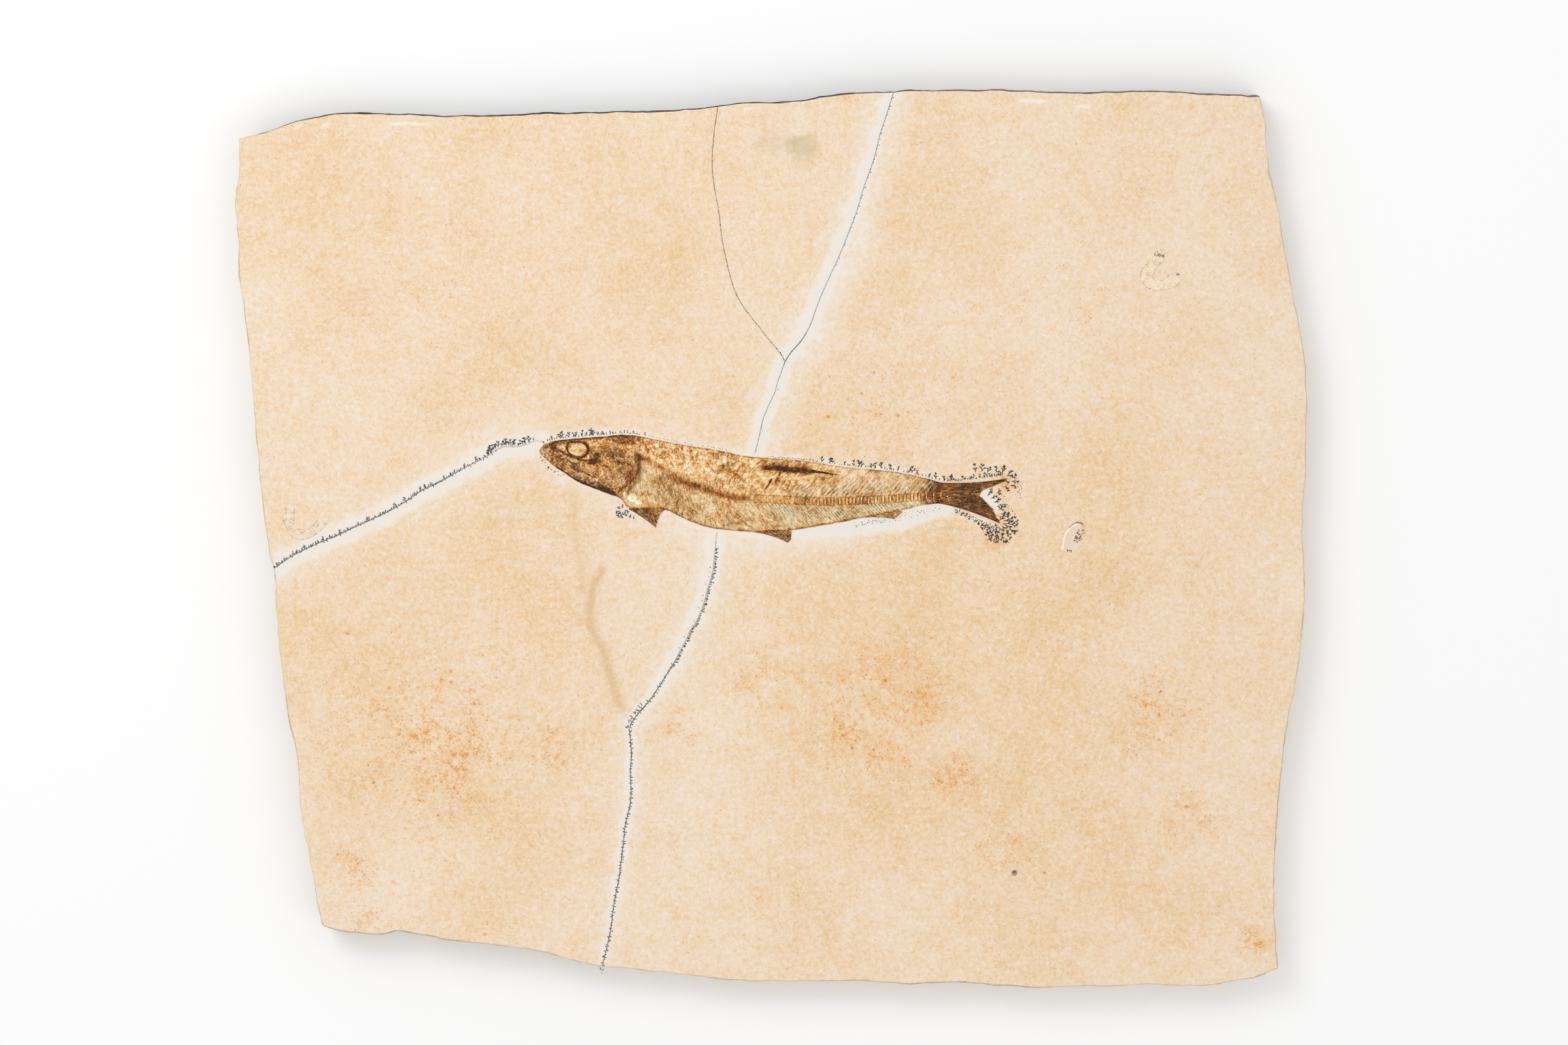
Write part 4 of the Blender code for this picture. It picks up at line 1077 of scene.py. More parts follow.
# Lines on the skull: line, half width, strength
DARK_LINES = (
    (((-106.6, 50.4), (-107.4, 48.2), (-106.9, 46), (-105.2, 43.9)), 0.5, 1.35),
    (((-100.1, 42.6), (-97.6, 43.8), (-96.2, 46.2), (-96.6, 48.6), (-98.6, 50.4)), 0.7, 1.3),
    (((-107, 50.5), (-101.8, 50.9), (-97.7, 50.8)), 0.45, 1.1),
    (((-105.2, 43.9), (-102.8, 43.2), (-100.1, 42.9)), 0.4, 0.9),
    (((-113.5, 47.4), (-110, 45.8), (-106.6, 43.7), (-103, 42.4), (-99.5, 41.4), (-95.5, 40.9)),
     0.65, 0.8),
    (((-118.6, 48.3), (-112.5, 50.9), (-102, 52.3), (-88.4, 53.2), (-78.6, 54.0), (-72, 53)), 0.75, 0.85),
    (((-112, 37.2), (-107, 33.6), (-101.8, 30.6), (-96.5, 28.3), (-92, 26.6)), 0.75, 0.95),
    (((-107.8, 42.6), (-104, 38.6), (-98, 34.6), (-92.6, 32.2)), 0.45, 0.55),
    (((-71.3, 46.4), (-71.3, 43.2), (-69.8, 37.1), (-71.5, 32.6), (-75.3, 28.8), (-79.6, 25.4)), 0.9, 0.6),
    (((-91.6, 46.2), (-90.6, 41), (-91.8, 35.5), (-94.4, 31)), 0.6, 0.45),
    (((-88, 38.8), (-84.4, 36), (-83.2, 32), (-84.6, 27.4)), 0.45, 0.4),
    (((-80.5, 36), (-77, 33.5), (-76, 29.5)), 0.4, 0.4),
    (((-84, 40), (-79, 40.6), (-74, 39)), 0.5, 0.4),
)
PALE_LINES = (
    (((-107.2, 33.2), (-101.4, 29.9), (-96, 27.5)), 0.32, 0.45),
    (((-99.5, 34.6), (-95.4, 32.6), (-92, 31.2)), 0.35, 0.75),
    (((-110.5, 45), (-106.4, 42), (-102.4, 40)), 0.35, 0.5),
    (((-112, 42), (-107.5, 38), (-101, 34.8)), 0.3, 0.4),
    (((-89.6, 33.4), (-91.6, 30.4), (-92.6, 28)), 0.35, 0.6),
)
# Spots on the skull: centre, radii, lean, strength
DARK_SPOTS = (
    ((-114.6, 48.3), (2.1, 1.6), 0, 1.0), ((-93.8, 40.6), (3.0, 1.6), 10, 1.2),
    ((-91.6, 43.6), (2.0, 1.7), 0, 0.8), ((-86.1, 25.0), (6.2, 1.9), -27, 1.0),
    ((-76, 51.6), (8, 2.2), -3, 0.85), ((-84, 52.6), (4, 1.0), 3, 0.7),
    ((-87.6, 49), (3.0, 2.6), 0, 0.45), ((-74, 33.2), (2.0, 1.8), 0, 0.6),
    ((-102.5, 37.5), (4, 2.0), -35, 0.55), ((-111, 41), (5.5, 3.4), -40, 0.4),
    ((-82, 47), (7, 4), 0, 0.3), ((-84.4, 44.3), (2.2, 1.8), 20, 0.7),
)
PALE_SPOTS = (
    ((-101.9, 47.0), (4.2, 2.9), 0, 0.38), ((-110.6, 48.0), (2.9, 1.2), -12, 0.55),
    ((-97.3, 42.9), (1.9, 1.3), 20, 0.78), ((-88.8, 34.5), (0.6, 1.4), -8, 1.0),
    ((-100, 34), (2.2, 0.8), -30, 0.3),
)
ORBIT = ((-101.6, 46.9), (5.3, 3.5))
SKULL_STAINS = {           # for each tint: centre, radii, lean, strength
    "black": (((-84.4, 44.3), (2.0, 1.6), 20, 0.6), ((-102, 38), (4, 2), -35, 0.4),
              ((-76, 28), (3, 2.2), 40, 0.45), ((-111, 40), (4, 2), -40, 0.35)),
    "rose": (((-82, 32.5), (6.5, 5), 0, 0.5), ((-98, 31), (8, 2.2), -28, 0.45),
             ((-118, 45), (3, 3), 0, 0.5), ((-101.6, 47), (4.5, 3), 0, 0.2)),
    "warm": (((-93.8, 40.6), (3.4, 2), 10, 0.7), ((-90, 40), (4, 3), 0, 0.4),
             ((-74, 33.2), (2.6, 2.2), 0, 0.5), ((-97, 46), (2.4, 4), 0, 0.5)),
    "sage": (((-103, 38), (6, 3), -35, 0.5), ((-82, 44), (8, 4), 0, 0.3)),
}
CHIPS = (                  # white chips behind the throat, on the trunk's front
    ((-77.6, 24.0), (1.7, 1.1), 30, 0.9), ((-73.1, 20.9), (2.6, 1.7), -10, 0.85),
    ((-69.6, 19.0), (1.9, 1.1), 0, 1.1),
)


def gill_x(share):
    """The x of the gill cover's rear margin at a share of the body's height."""
    shares, xs = np.array(GILL_MARGIN).T
    fine = np.linspace(0, 1, 41)
    eased = np.interp(fine, shares, xs)
    for _ in range(3):
        eased[1:-1] = (eased[:-2] + 2 * eased[1:-1] + eased[2:]) / 4
    return np.interp(share, fine, eased)


def line_marks(x, y, lines):
    """The strongest of several soft lines at each place."""
    found = np.zeros(x.shape)
    for line, half, strength in lines:
        gap, _ = beside(x, y, smooth(line, 0.8))
        found = np.maximum(found, strength * bell(gap / half))
    return found


def spot_marks(x, y, spots):
    """The strongest of several soft leaned ovals at each place."""
    found = np.zeros(x.shape)
    for centre, radii, lean, strength in spots:
        found = np.maximum(found, strength * rise(oval(x, y, centre, radii, lean), 1.25, 0.7))
    return found


def dome(share, fullness=0.55):
    """A section from edge to edge: a sine drawn up at its sides."""
    return np.clip(np.sin(np.pi * share), 0, 1) ** fullness


def skull(finish):
    """The head: a low dome over a grid from the snout to the gill margin and from belly to
    back. Its height is the dome, plus a raised gill cover and a ring round the orbit, less
    the orbit's floor and the furrows, plus two sizes of noise for the bones."""
    s, t = np.meshgrid(np.linspace(0, 1, SKULL_GRID[0]), np.linspace(0, 1, SKULL_GRID[1]),
                       indexing="ij")
    margin_x = gill_x(t) + GILL_LAP + 0.8 * rough(t * 40, t * 0, 5, 57, 4)
    x = SNOUT_X + s * (margin_x - SNOUT_X)
    x = x - 0.5 * (1 - s) ** 6 * (dome(t, 0.6) - 0.3)
    low, high = belly_y(x), back_y(x)
    y = low + t * (high - low)
    y = y + 0.26 * rough(x, t * 40, 2.4, 51) * (np.abs(t - 0.5) * 2) ** 8

    furrow = line_marks(x, y, DARK_LINES)
    orbit = oval(x, y, *ORBIT)
    lumps = rough(x, y, 9, 52, 4)
    crown = SKULL_CROWN * dome(t) * np.sqrt(np.clip(3 * s + 0.06, 0, 1))
    crown += GILL_RISE * rise(s, 0.62, 0.8) * dome(t, 0.3) * (1 - rise(s, 0.975, 1.0) * 0.9)
    crown = crown * (1 - 0.35 * rise(s, 0.93, 1.0))
    crown += (0.34 * bell((orbit - 1.05) / 0.2) - 0.42 * rise(orbit, 1.0, 0.6)) * dome(t, 0.3)
    crown -= 0.16 * furrow * dome(t, 0.4)
    crown += (0.16 * lumps + 0.07 * rough(x, y, 1.6, 53)) * dome(t, 0.5)
    z = TOP + RIM_RISE + np.maximum(crown, 0)

    # the fibres turn about the jaw joint
    off_x, off_y = x - JAW_JOINT[0], y - JAW_JOINT[1]
    spin = np.arctan2(-off_x * 0.45 - off_y * 0.89, off_y * 0.45 - off_x * 0.89)
    reach = np.hypot(off_x, off_y)
    flow = flow_lines(spin * np.sqrt(11 ** 2 + (0.75 * reach) ** 2), reach)

    orbit_floor = rise(orbit, 1.0, 0.85)
    nape = rise(x + 1.6 * rough(x, y, 3, 56), -79, -71) * rise(t, 0.45, 0.7)
    stain = {tint: spot_marks(x, y, spots) for tint, spots in SKULL_STAINS.items()}
    dark = 0.2 + np.maximum(furrow * 1.15, spot_marks(x, y, DARK_SPOTS) * 0.9)
    dark = (dark + 0.15 * rise(t, 0.955, 0.985)) * (1 - 0.3 * nape)
    dark += 0.25 * rise(t, 0.04, 0.01) + 0.14 * lumps - 0.2 * rise(t, 0.6, 0.9) - 0.45 * orbit_floor
    warm = stain["warm"] + 0.3 + 0.25 * rise(rough(x, y, 5, 54), 0.0, 0.5)
    pale = np.maximum(spot_marks(x, y, PALE_SPOTS), line_marks(x, y, PALE_LINES))
    return make_plate(
        "skull_bones", x, y, z, TOP - SUNK, finish, "skull_bone", ["skull"], flow=flow,
        **marks(x.shape, dark=dark, black=stain["black"], rose=stain["rose"], sage=stain["sage"],
                warm=warm + 0.2 * np.clip(furrow, 0, 1),
                pale=pale * (1 - 0.8 * np.clip(furrow, 0, 1)),
                ink=0.35 - 0.3 * orbit_floor + 0.15 * rough(x, y, 7, 55)))


BAND_END_X = -12.0         # where the dark lateral band turns into the tan backbone
SCALE_PITCH = 2.3
DORSAL_LINE = ((-3.6, 37.5), (0, 37.2), (6.1, 36.8), (20.1, 35.6), (35.2, 33.6))
DORSAL_WIDTHS = ((0, 0.7), (0.06, 1.3), (0.25, 1.5), (0.5, 1.35), (0.7, 0.85), (0.85, 0.45), (1, 0.15))
FOLDS = (                  # dark folds on the flank: line, half width, strength
    (((0.1, 31.1), (-1.4, 28.4), (-3.0, 26.2)), 0.4, 1.7),
    (((4.6, 35.2), (4.0, 32.4), (2.3, 29.5)), 0.8, 0.9),
    (((-27, 13), (-22, 18), (-18, 19.5)), 0.8, 0.3),
)
TRUNK_SPOTS = {            # on the flank, for each kind: centre, radii, lean, strength
    "bright": (((-24.7, 41.8), (1.9, 2.0), 20, 0.85), ((-20, 40.6), (1.2, 0.9), 0, 0.45),
               ((-62, 49), (2.4, 1.0), -10, 0.4), ((-67.5, 47.6), (1.6, 0.9), 0, 0.55),
               ((-44, 45), (1.2, 0.8), 0, 0.4), ((-10, 30), (2.5, 1.2), 40, 0.4),
               ((-14, 33), (2.5, 1.2), 45, 0.35)),
    "yellow": (((-64, 36), (6, 5), -30, 0.30), ((-30, 33), (16, 4), -12, 0.25)),
    "murky": (((-56, 27), (9, 7), -35, 0.9), ((-46, 17), (14, 6), -20, 0.6),
              ((-22, 10), (12, 4), -5, 0.5)),
    "reddish": (((5.8, 20.8), (2.5, 1.5), 0, 0.9), ((-23, 18), (3, 2), 0, 0.7),
                ((-28, 12), (4, 3), 0, 0.5), ((-64, 18), (6, 2), -15, 0.6)),
}


def scale_edges(x, y):
    """Overlapping scales: rows of arcs, each row half a scale on from the one below; a place
    is near an edge where its distance from its scale's centre is near the radius."""
    row = np.floor(y / (SCALE_PITCH * 0.5))
    shift = np.where(row % 2 == 0, 0.0, SCALE_PITCH / 2)
    centre = (np.floor((x + shift) / SCALE_PITCH) + 0.35) * SCALE_PITCH - shift
    off_y = y - (row + 0.5) * SCALE_PITCH * 0.5
    return bell((np.hypot(x - centre, off_y * 1.2) - SCALE_PITCH * 0.48) / 0.22)


def trunk(finish):
    """The body: a low dome from the gill margin to the tail. On the dome stand the
    backbone's beads, one for each VERTEBRA_PITCH, the slanted bones above and below it,
    whose phase moves forward with the distance from the backbone, scale edges and lumps."""
    s, t = np.meshgrid(np.linspace(0, 1, TRUNK_GRID[0]), np.linspace(0, 1, TRUNK_GRID[1]),
                       indexing="ij")
    front = gill_x(t) - 0.3
    x = front + s * (TAIL_ROOT_X + 0.6 - front)
    low, high = belly_y(x), back_y(x)
    y = low + t * (high - low)
    y = y + 0.3 * rough(x, t * 40, 2.4, 61) * (np.abs(t - 0.5) * 2) ** 8
    above = y - column_y(x)
    slanted = x - 0.92 * np.sqrt(above ** 2 + 1.0) * (0.25 + 0.75 * rise(x, -40, 15))

    # the backbone: a bar at each vertebra's waist and a dark joint on either side of it
    on_column = rise(x, BAND_END_X - 4, BAND_END_X + 4) * np.exp(-(above / 1.9) ** 4)
    beat = np.abs(((x - TAIL_ROOT_X) / VERTEBRA_PITCH + 0.5) % 1 - 0.5) * VERTEBRA_PITCH
    bar = bell(beat / 0.34) * on_column * rise(x, -5, 50)
    joint = bell((beat - 0.8) / 0.34) * on_column * rise(x, -12, 40)
    band_width = np.interp(x, (-72, -50, -20, -8), (1.8, 2.3, 1.9, 1.6))
    band = bell(above / band_width) * (1 - rise(x, BAND_END_X - 3, BAND_END_X + 3))
    band *= 0.95 + 0.35 * rough(x, y, 3, 62)

    # the slanted bones, broken into dashes
    bones = np.abs((slanted / VERTEBRA_PITCH * np.where(above > 0, 1.4, 2.2)) % 1 - 0.5) * 2
    dashes = rise(rough(slanted * 1.6, above, 2.6, 63), -0.5, -0.05)
    upper = rise(above, 1.6, 2.6) * rise(above, 10.5, 7) * rise(x, 0, 18)
    lower = rise(-above, 1.6, 2.6) * rise(-above, 10.5, 8) * rise(x, -12, 2)
    slant = dashes * (upper + lower) * (0.75 + 0.5 * rough(x, y, 5, 60)) * rise(x, 88, 81)
    scales = scale_edges(x, y) * rise(rough(x, y, 8, 64), -0.2, 0.4) * (1 - on_column)
    lumps = rough(x, y, 8, 65, 4)

    crown = (TRUNK_CROWN + (TAIL_CROWN - TRUNK_CROWN) * s ** 1.5) * dome(t)
    crown = crown * (0.55 + 0.45 * rise(s, 0.0, 0.03))
    waists = np.cos(2 * np.pi * beat / VERTEBRA_PITCH) * rise(x, 0, 45)
    relief = 0.34 * on_column * (0.75 + 0.45 * waists) + 0.2 * bar - 0.16 * joint - 0.1 * band
    relief += 0.09 * (1 - bones) * (upper + lower) + 0.08 * scales
    relief += 0.14 * lumps + 0.07 * rough(slanted, above, 1.7, 66)
    z = TOP + RIM_RISE + np.maximum(crown + relief * dome(t, 0.4), 0)

    # the edges, the places with a colour of their own, and painted shadow round the dorsal fin
    back_line = rise(high - y, 0.75, 0.25)
    belly_line = rise(y - low, 1.3, 0.5)
    keel = rise(y - low, 2.6, 0.6) * rise(x, 5, 20) * rise(x, 62, 50)
    behind_gill = bell((x - front - 1.2) / 2.4) * rise(t, 0.12, 0.25) * rise(t, 0.85, 0.7)
    tail_shade = rise(x + 2 * rough(x, y, 4, 69), 74, 88)
    under = rise(-above, 1, 3)
    bright, yellow, murky, reddish = (spot_marks(x, y, TRUNK_SPOTS[name]) for name in
                                      ("bright", "yellow", "murky", "reddish"))
    # the mark along DORSAL_LINE is painted shadow: a soft dark band round the folded dorsal fin
    dark = np.maximum.reduce([
        band, joint * 1.3, slant * 0.1, line_marks(x, y, FOLDS), keel * 0.15, 0.3 * on_column,
        bell((np.abs(above) - 1.9) / 0.4) * rise(x, -14, -4) * 0.7,
        line_marks(x, y, ((DORSAL_LINE[:-1], 2.2, 1.3),)) * 0.9, tail_shade])
    dark += 0.4 * back_line + 0.5 * belly_line + 0.35 * murky + 0.8 * behind_gill
    dark += (0.2 + 0.3 * rise(x, 20, 50)) * lumps + 0.12 * bell((x + 71) / 7) * rise(above, -3, 3)
    dark += 0.08 * rise(-above, 1, 4) * rise(x, -50, -10) - 0.15 * under * rise(x, 10, 30)
    warm = np.maximum.reduce([
        on_column * 0.62, band * 0.5, rise(x, 74, 88) * 0.6, belly_line * 0.8, keel * 0.6,
        reddish, back_line * 0.4,
        0.2 * rise(above, 0, 5) * rise(x, 40, 10) + 0.25 * rise(rough(x, y, 6, 67), 0.1, 0.6)])
    sage = rise(-above, -1, 4) * rise(x, 14, -14) + 1.3 * under * rise(x, -8, 10)
    rose = rise(above, 4, 8) * rise(x, 22, 40) * rise(x, 82, 68) \
        + 0.6 * rise(above, 3, 8) * rise(x, -15, -30)
    pale = np.maximum.reduce([bar * 0.95, bright, yellow, spot_marks(x, y, CHIPS),
                              rise(bones, 0.55, 0.85) * dashes * (upper + lower) * 0.32])
    ink = 0.3 + 0.3 * (lower + murky + rise(-above, 0, 4) * rise(x, 10, -10)) \
        + 0.15 * rough(x, y, 9, 68)
    scaled = rise(above, 2.5, 5) * rise(x, 45, 5) * (1 - rise(x, -45, -20) * 0.3) \
        + 0.35 * (1 - on_column) * (1 - 0.8 * np.clip(band, 0, 1))
    faster = np.where(above > 0, 1.0, 1 + 0.5 * rise(x, -25, 5))
    return make_plate(
        "trunk_scales", x, y, z, TOP - SUNK, finish, "scaled_flank", ["trunk"],
        flow=flow_lines(slanted * faster, np.abs(above)),
        **marks(x.shape, dark=dark, slant=slant, warm=warm, rose=rose * 0.45,
                sage=sage * 0.4 * (1 - on_column), pale=pale, ink=ink, scaled=scaled,
                black=np.maximum.reduce([behind_gill * 0.6, slant * lower * 0.3, band * 0.1,
                                         murky * 0.3])))


# ============================================================ the fish: fins

# Root line, tip line, how far the edges bow towards the middle, rays, cross bars along a ray,
# height of a ray, how far stone shows between the rays' ends, darkness and rose tint
FINS = {
    "tail_fin": dict(
        root=((87.2, 29.6), (86.4, 24), (87.2, 18.9)),
        tips=((123.4, 31.7), (120.4, 29.3), (114.6, 27.0), (109.4, 24.0), (111.6, 20.3),
              (116.2, 15.3), (120.1, 8.0)),
        bow=0.03, rays=26, bars=34, rise=0.34, bare=0.0, dark=0.34, rose=0.0, grid=(190, 240)),
    "pectoral_fin": dict(
        root=((-74.8, 15.6), (-72.5, 17.4), (-66.5, 17.6)),
        tips=((-60.9, 6.0), (-59.6, 9.8), (-58.4, 13), (-55.4, 15.8)),
        bow=0.03, rays=11, bars=7, rise=0.34, bare=0.45, dark=0.2, rose=0.0, grid=(100, 110)),
    "pelvic_fin": dict(
        root=((-9.2, 3.6), (0, 4.6), (8.2, 4.9)),
        tips=((8.4, -1.9), (10.2, -0.4), (10.3, 1.4), (10.7, 3.6)),
        bow=0.04, rays=11, bars=5, rise=0.3, bare=0.3, dark=0.15, rose=0.4, grid=(90, 110)),
    "anal_fin": dict(
        root=((48.8, 11.2), (56, 13.2), (67, 15.0)),
        tips=((64.4, 10.5), (66.8, 12.1), (69.0, 14.2)),
        bow=0.03, rays=8, bars=5, rise=0.28, bare=0.35, dark=0.0, rose=0.4, grid=(70, 80)),
}


TAIL_STREAKS = (           # pale streaks at the tail's root: centre, radii, lean, strength
    ((96.6, 23.4), (2.9, 0.5), -14, 0.85), ((92, 22.4), (2.0, 0.35), -20, 0.6),
    ((100.5, 22.6), (2.6, 0.3), -6, 0.6), ((90.5, 25.2), (2.2, 0.3), -12, 0.6),
    ((92.5, 27.6), (2.0, 0.3), 8, 0.4), ((88.5, 20.6), (2.4, 0.3), -6, 0.5),
    ((104, 23.4), (2.2, 0.3), 4, 0.4), ((94, 20.0), (2.0, 0.3), -16, 0.45),
    ((93, 25.0), (3.2, 0.35), -12, 0.6), ((99, 25.0), (3.0, 0.3), -4, 0.5),
    ((97.5, 20.8), (3.0, 0.35), -22, 0.5), ((91, 21.2), (2.4, 0.3), -14, 0.6),
)


def fin(name, finish):
    """A fin: rays spread from the root line to the tip line, each a low ridge crossed by
    short bars; its sides bow towards its middle and its tip is ragged."""
    shape = FINS[name]
    v, u = np.meshgrid(np.linspace(0, 1, shape["grid"][0]), np.linspace(0, 1, shape["grid"][1]),
                       indexing="ij")
    start, _ = along(smooth(shape["root"], 0.5), u)
    end, _ = along(smooth(shape["tips"], 0.5), u)
    ray = end - start
    across = np.stack([-ray[..., 1], ray[..., 0]], axis=-1)
    middle = (start + end).mean(axis=(0, 1)) / 2
    inward = np.sign(np.sum((middle - (start + end) / 2) * across, axis=-1))
    lean = shape["bow"] * np.abs(2 * u - 1) * inward * 4 * v * (1 - v)
    ragged = 0.035 * rough(u * 60, u * 0, 3, 71) * v ** 4
    place = start + ray * (v + ragged)[..., None] + across * lean[..., None]
    x, y = place[..., 0], place[..., 1]
    ridge = np.abs(np.cos(np.pi * shape["rays"] * u))
    run = v + 0.015 * rough(u * 40, v, 4, 72)
    bars = np.abs(np.cos(np.pi * shape["bars"] * run))
    inside = np.clip(np.sin(np.pi * u), 0, 1) ** 0.3
    lift = shape["rise"] * (0.4 + 0.6 * ridge) * (1 - 0.45 * v) * inside
    lift += 0.07 * bars * ridge * v * inside + 0.08 * rough(x, y, 2.4, 73) * inside
    z = TOP + RIM_RISE + np.maximum(lift, 0)
    if name == "tail_fin":
        z = z + TAIL_CROWN * dome(u) * rise(v, 0.34, 0.0)
    gaps = rise(1 - ridge, 0.5, 0.9) * rise(v, 0.4, 0.85) * shape["bare"]
    streak = spot_marks(x, y, TAIL_STREAKS if name == "tail_fin" else ())
    dark = shape["dark"] + 0.75 * (1 - ridge) + 0.35 * rise(np.abs(2 * u - 1), 0.86, 0.97)
    dark += 0.2 * rough(x, y, 3, 74) + 0.3 * rise(v, 0.3, 0.0)
    if name == "tail_fin":
        dark += 0.5 * (1 - bars) * rise(v, 0.15, 0.4)
    return make_plate(
        name + "_rays", x, y, z, TOP - SUNK, finish, "fin_ray", [name],
        flow=flow_lines(u * np.hypot(*ray.reshape(-1, 2).T).mean() * 0.5, v * 20),
        **marks(x.shape, dark=dark * (1 - gaps), black=0.15 * (1 - bars) * rise(v, 0.6, 0.9),
                warm=0.12 + 0.5 * rise(v, 0.45, 0.0) + 0.25 * ridge, sage=0.1 * rise(v, 0.3, 0.8),
                rose=np.full(x.shape, shape["rose"]), ink=np.full(x.shape, 0.3),
                pale=np.maximum(streak * 0.75, gaps * 0.8)))


def band_grid(line, widths, counts):
    """A grid along a line, as wide on each side as the widths say at shares of its length."""
    s, t = np.meshgrid(np.linspace(0, 1, counts[0]), np.linspace(-1, 1, counts[1]), indexing="ij")
    place, aim = along(smooth(line, 0.6), s)
    half = np.interp(s, *np.array(widths).T)
    side = np.stack([-aim[..., 1], aim[..., 0]], axis=-1)
    place = place + side * (half * t)[..., None]
    return s, t, place[..., 0], place[..., 1]


def dorsal_fin(finish):
    """The back fin, folded down: a narrow dark leaf of two ridges lying on the flank."""
    _, t, x, y = band_grid(DORSAL_LINE, DORSAL_WIDTHS, (150, 26))
    y = y + 0.4 * rough(x, t * 10, 1.6, 81) * np.abs(t)
    high, low = back_y(x), belly_y(x)
    share = (y - low) / (high - low)
    crown = (TRUNK_CROWN + (TAIL_CROWN - TRUNK_CROWN) * ((x + 71) / 160) ** 1.5) * dome(share)
    ridge = np.clip(1 - t ** 2, 0, 1) ** 0.5 * (0.6 + 0.4 * np.abs(np.cos(np.pi * 2 * t)))
    z = TOP + RIM_RISE + crown + 0.14 * rough(x, y, 8, 65, 4) - 0.1 + 0.38 * ridge
    return make_plate(
        "dorsal_fin_rays", x, y, z, TOP + 0.1, finish, "fin_ray", ["dorsal_fin"],
        flow=flow_lines(t * 1.4, x),
        **marks(x.shape, dark=1.2 + 0.3 * rough(x, y, 2, 82) - 0.5 * rise(np.abs(t), 0.5, 1.0),
                black=0.25 * (1 - np.abs(t)), warm=np.full(x.shape, 0.4),
                ink=np.full(x.shape, 0.4)))


# ============================================================ curled traces

TRACES = {
    "curled_trace_right": dict(
        line=((204.6, 152.3), (203.2, 147.2), (199.7, 143), (197, 138.4), (199, 134.2),
              (204.2, 133), (209.8, 135), (214.6, 138.8)),
        widths=((0, 0.5), (0.015, 1.5), (0.05, 2.6), (0.14, 2.9), (0.2, 2.4), (0.35, 3.3), (0.52, 2.9),
                (0.64, 2.6), (0.72, 2.5), (0.86, 3.6), (0.95, 2.9), (0.985, 1.7), (1, 0.5)),
        crown=0.42, folds=7),
    "curled_trace_left": dict(
        line=((-252, 18.4), (-253.4, 12.8), (-253.2, 7.2), (-249.7, 2.8), (-244.1, 2.4),
              (-239.6, 5.2), (-235.7, 8.9), (-232.7, 10.9)),
        widths=((0, 0.4), (0.02, 1.4), (0.08, 2.6), (0.2, 3.1), (0.32, 2.2), (0.5, 2.8), (0.68, 2.3),
                (0.85, 2.7), (0.95, 2.0), (0.985, 1.2), (1, 0.4)),
        crown=0.26, folds=6),
}
TRACE_FILL = srgb(243, 224, 192)
TRACE_SHADE = srgb(196, 152, 106)
TRACE_LINE = srgb(166, 132, 98)
TRACE_GREY = srgb(226, 216, 206)
TRACE_DARK = srgb(112, 84, 76)


def trace_finish():
    """Calcite trace: the stone's own mottle veiled in cream or grey, with thin broken tan
    lines, a faint edge, and dark specks at its ends."""
    calcite = Finish("trace_calcite")
    mottle = calcite.grain(2.2, detail=3)
    fine = calcite.grain(0.7, detail=2)
    colour = calcite.ramp(0.5 + (mottle - 0.5) * 0.9 + (fine - 0.5) * 0.6, *STONE_STOPS)
    veil = calcite.blend(TRACE_FILL, TRACE_GREY, calcite.value("grey"))
    colour = calcite.blend(colour, veil, 0.45 + (mottle - 0.5) * 0.6)
    broken = calcite.rise(calcite.grain(3.1, detail=2), 0.44, 0.56)
    wrinkle = calcite.grain(2.8, detail=2, roughness=0.6, distortion=0.3)
    seam = 1 - calcite.rise(calcite.size_of(wrinkle - 0.5), 0.004, 0.03)
    colour = calcite.blend(colour, TRACE_SHADE, seam * broken * 0.75)
    outline = calcite.rise(calcite.value("edge") + (fine - 0.5) * 1.4 + (mottle - 0.5), 0.55, 0.95)
    colour = calcite.blend(colour, TRACE_LINE, outline * (0.25 + broken * 0.4))
    specks = calcite.rise(calcite.value("dark") + (fine - 0.5) * 2.6 + (mottle - 0.5) * 1.4, 0.62, 0.9)
    colour = calcite.blend(colour, TRACE_DARK, specks * 0.8)
    relief = calcite.bump(mottle + fine * 0.5 - seam * broken * 0.3, 0.14)
    calcite.done(colour, 0.8, relief, specular=0.2)
    return calcite


def curled_trace(name, finish):
    """A curled band: crowned across, with lumps and shallow folds along it."""
    shape = TRACES[name]
    s, t, x, y = band_grid(shape["line"], shape["widths"], (150, 40))
    x, y = x + 0.3 * rough(x, y, 3, 91), y + 0.3 * rough(x, y, 3, 92)
    lumps = 1 + 0.2 * np.sin(2 * np.pi * shape["folds"] * s + 2 * rough(x, y, 5, 93))
    crown = shape["crown"] * lumps * np.clip(1 - t ** 2, 0, 1) ** 0.6
    z = ground(x, y) + 0.04 + crown * (0.75 + 0.25 * rough(x, y, 2, 94)) * dome(s * 0.96 + 0.02, 0.3)
    right = name == "curled_trace_right"
    dark = np.maximum(rise(s, 0.17, 0.1), rise(s, 0.88, 0.95) * rise(t, -0.3, 0.5)) if right \
        else 0.25 * rise(np.abs(t), 0.5, 0.9)
    return make_plate(
        name + "_relief", x, y, z, TOP - SUNK, finish, "trace_calcite", [name],
        edge=rise(np.abs(t), 0.7, 0.98), dark=dark * 0.7,
        grey=np.full(s.shape, 0.1 if right else 0.7))


# ============================================================ manganese dendrites

FILM = 0.09                # how far the mineral film stands above the stone
FILM_ROOT = 0.015          # and how far its edges lie within it
LEAF_DIP = 0.02            # how far a leaf may dip where the stone falls away, as at a crack
FILM_STOPS = ((0.35, srgb(34, 36, 38)), (0.55, srgb(58, 61, 63)), (0.72, srgb(98, 98, 94)))


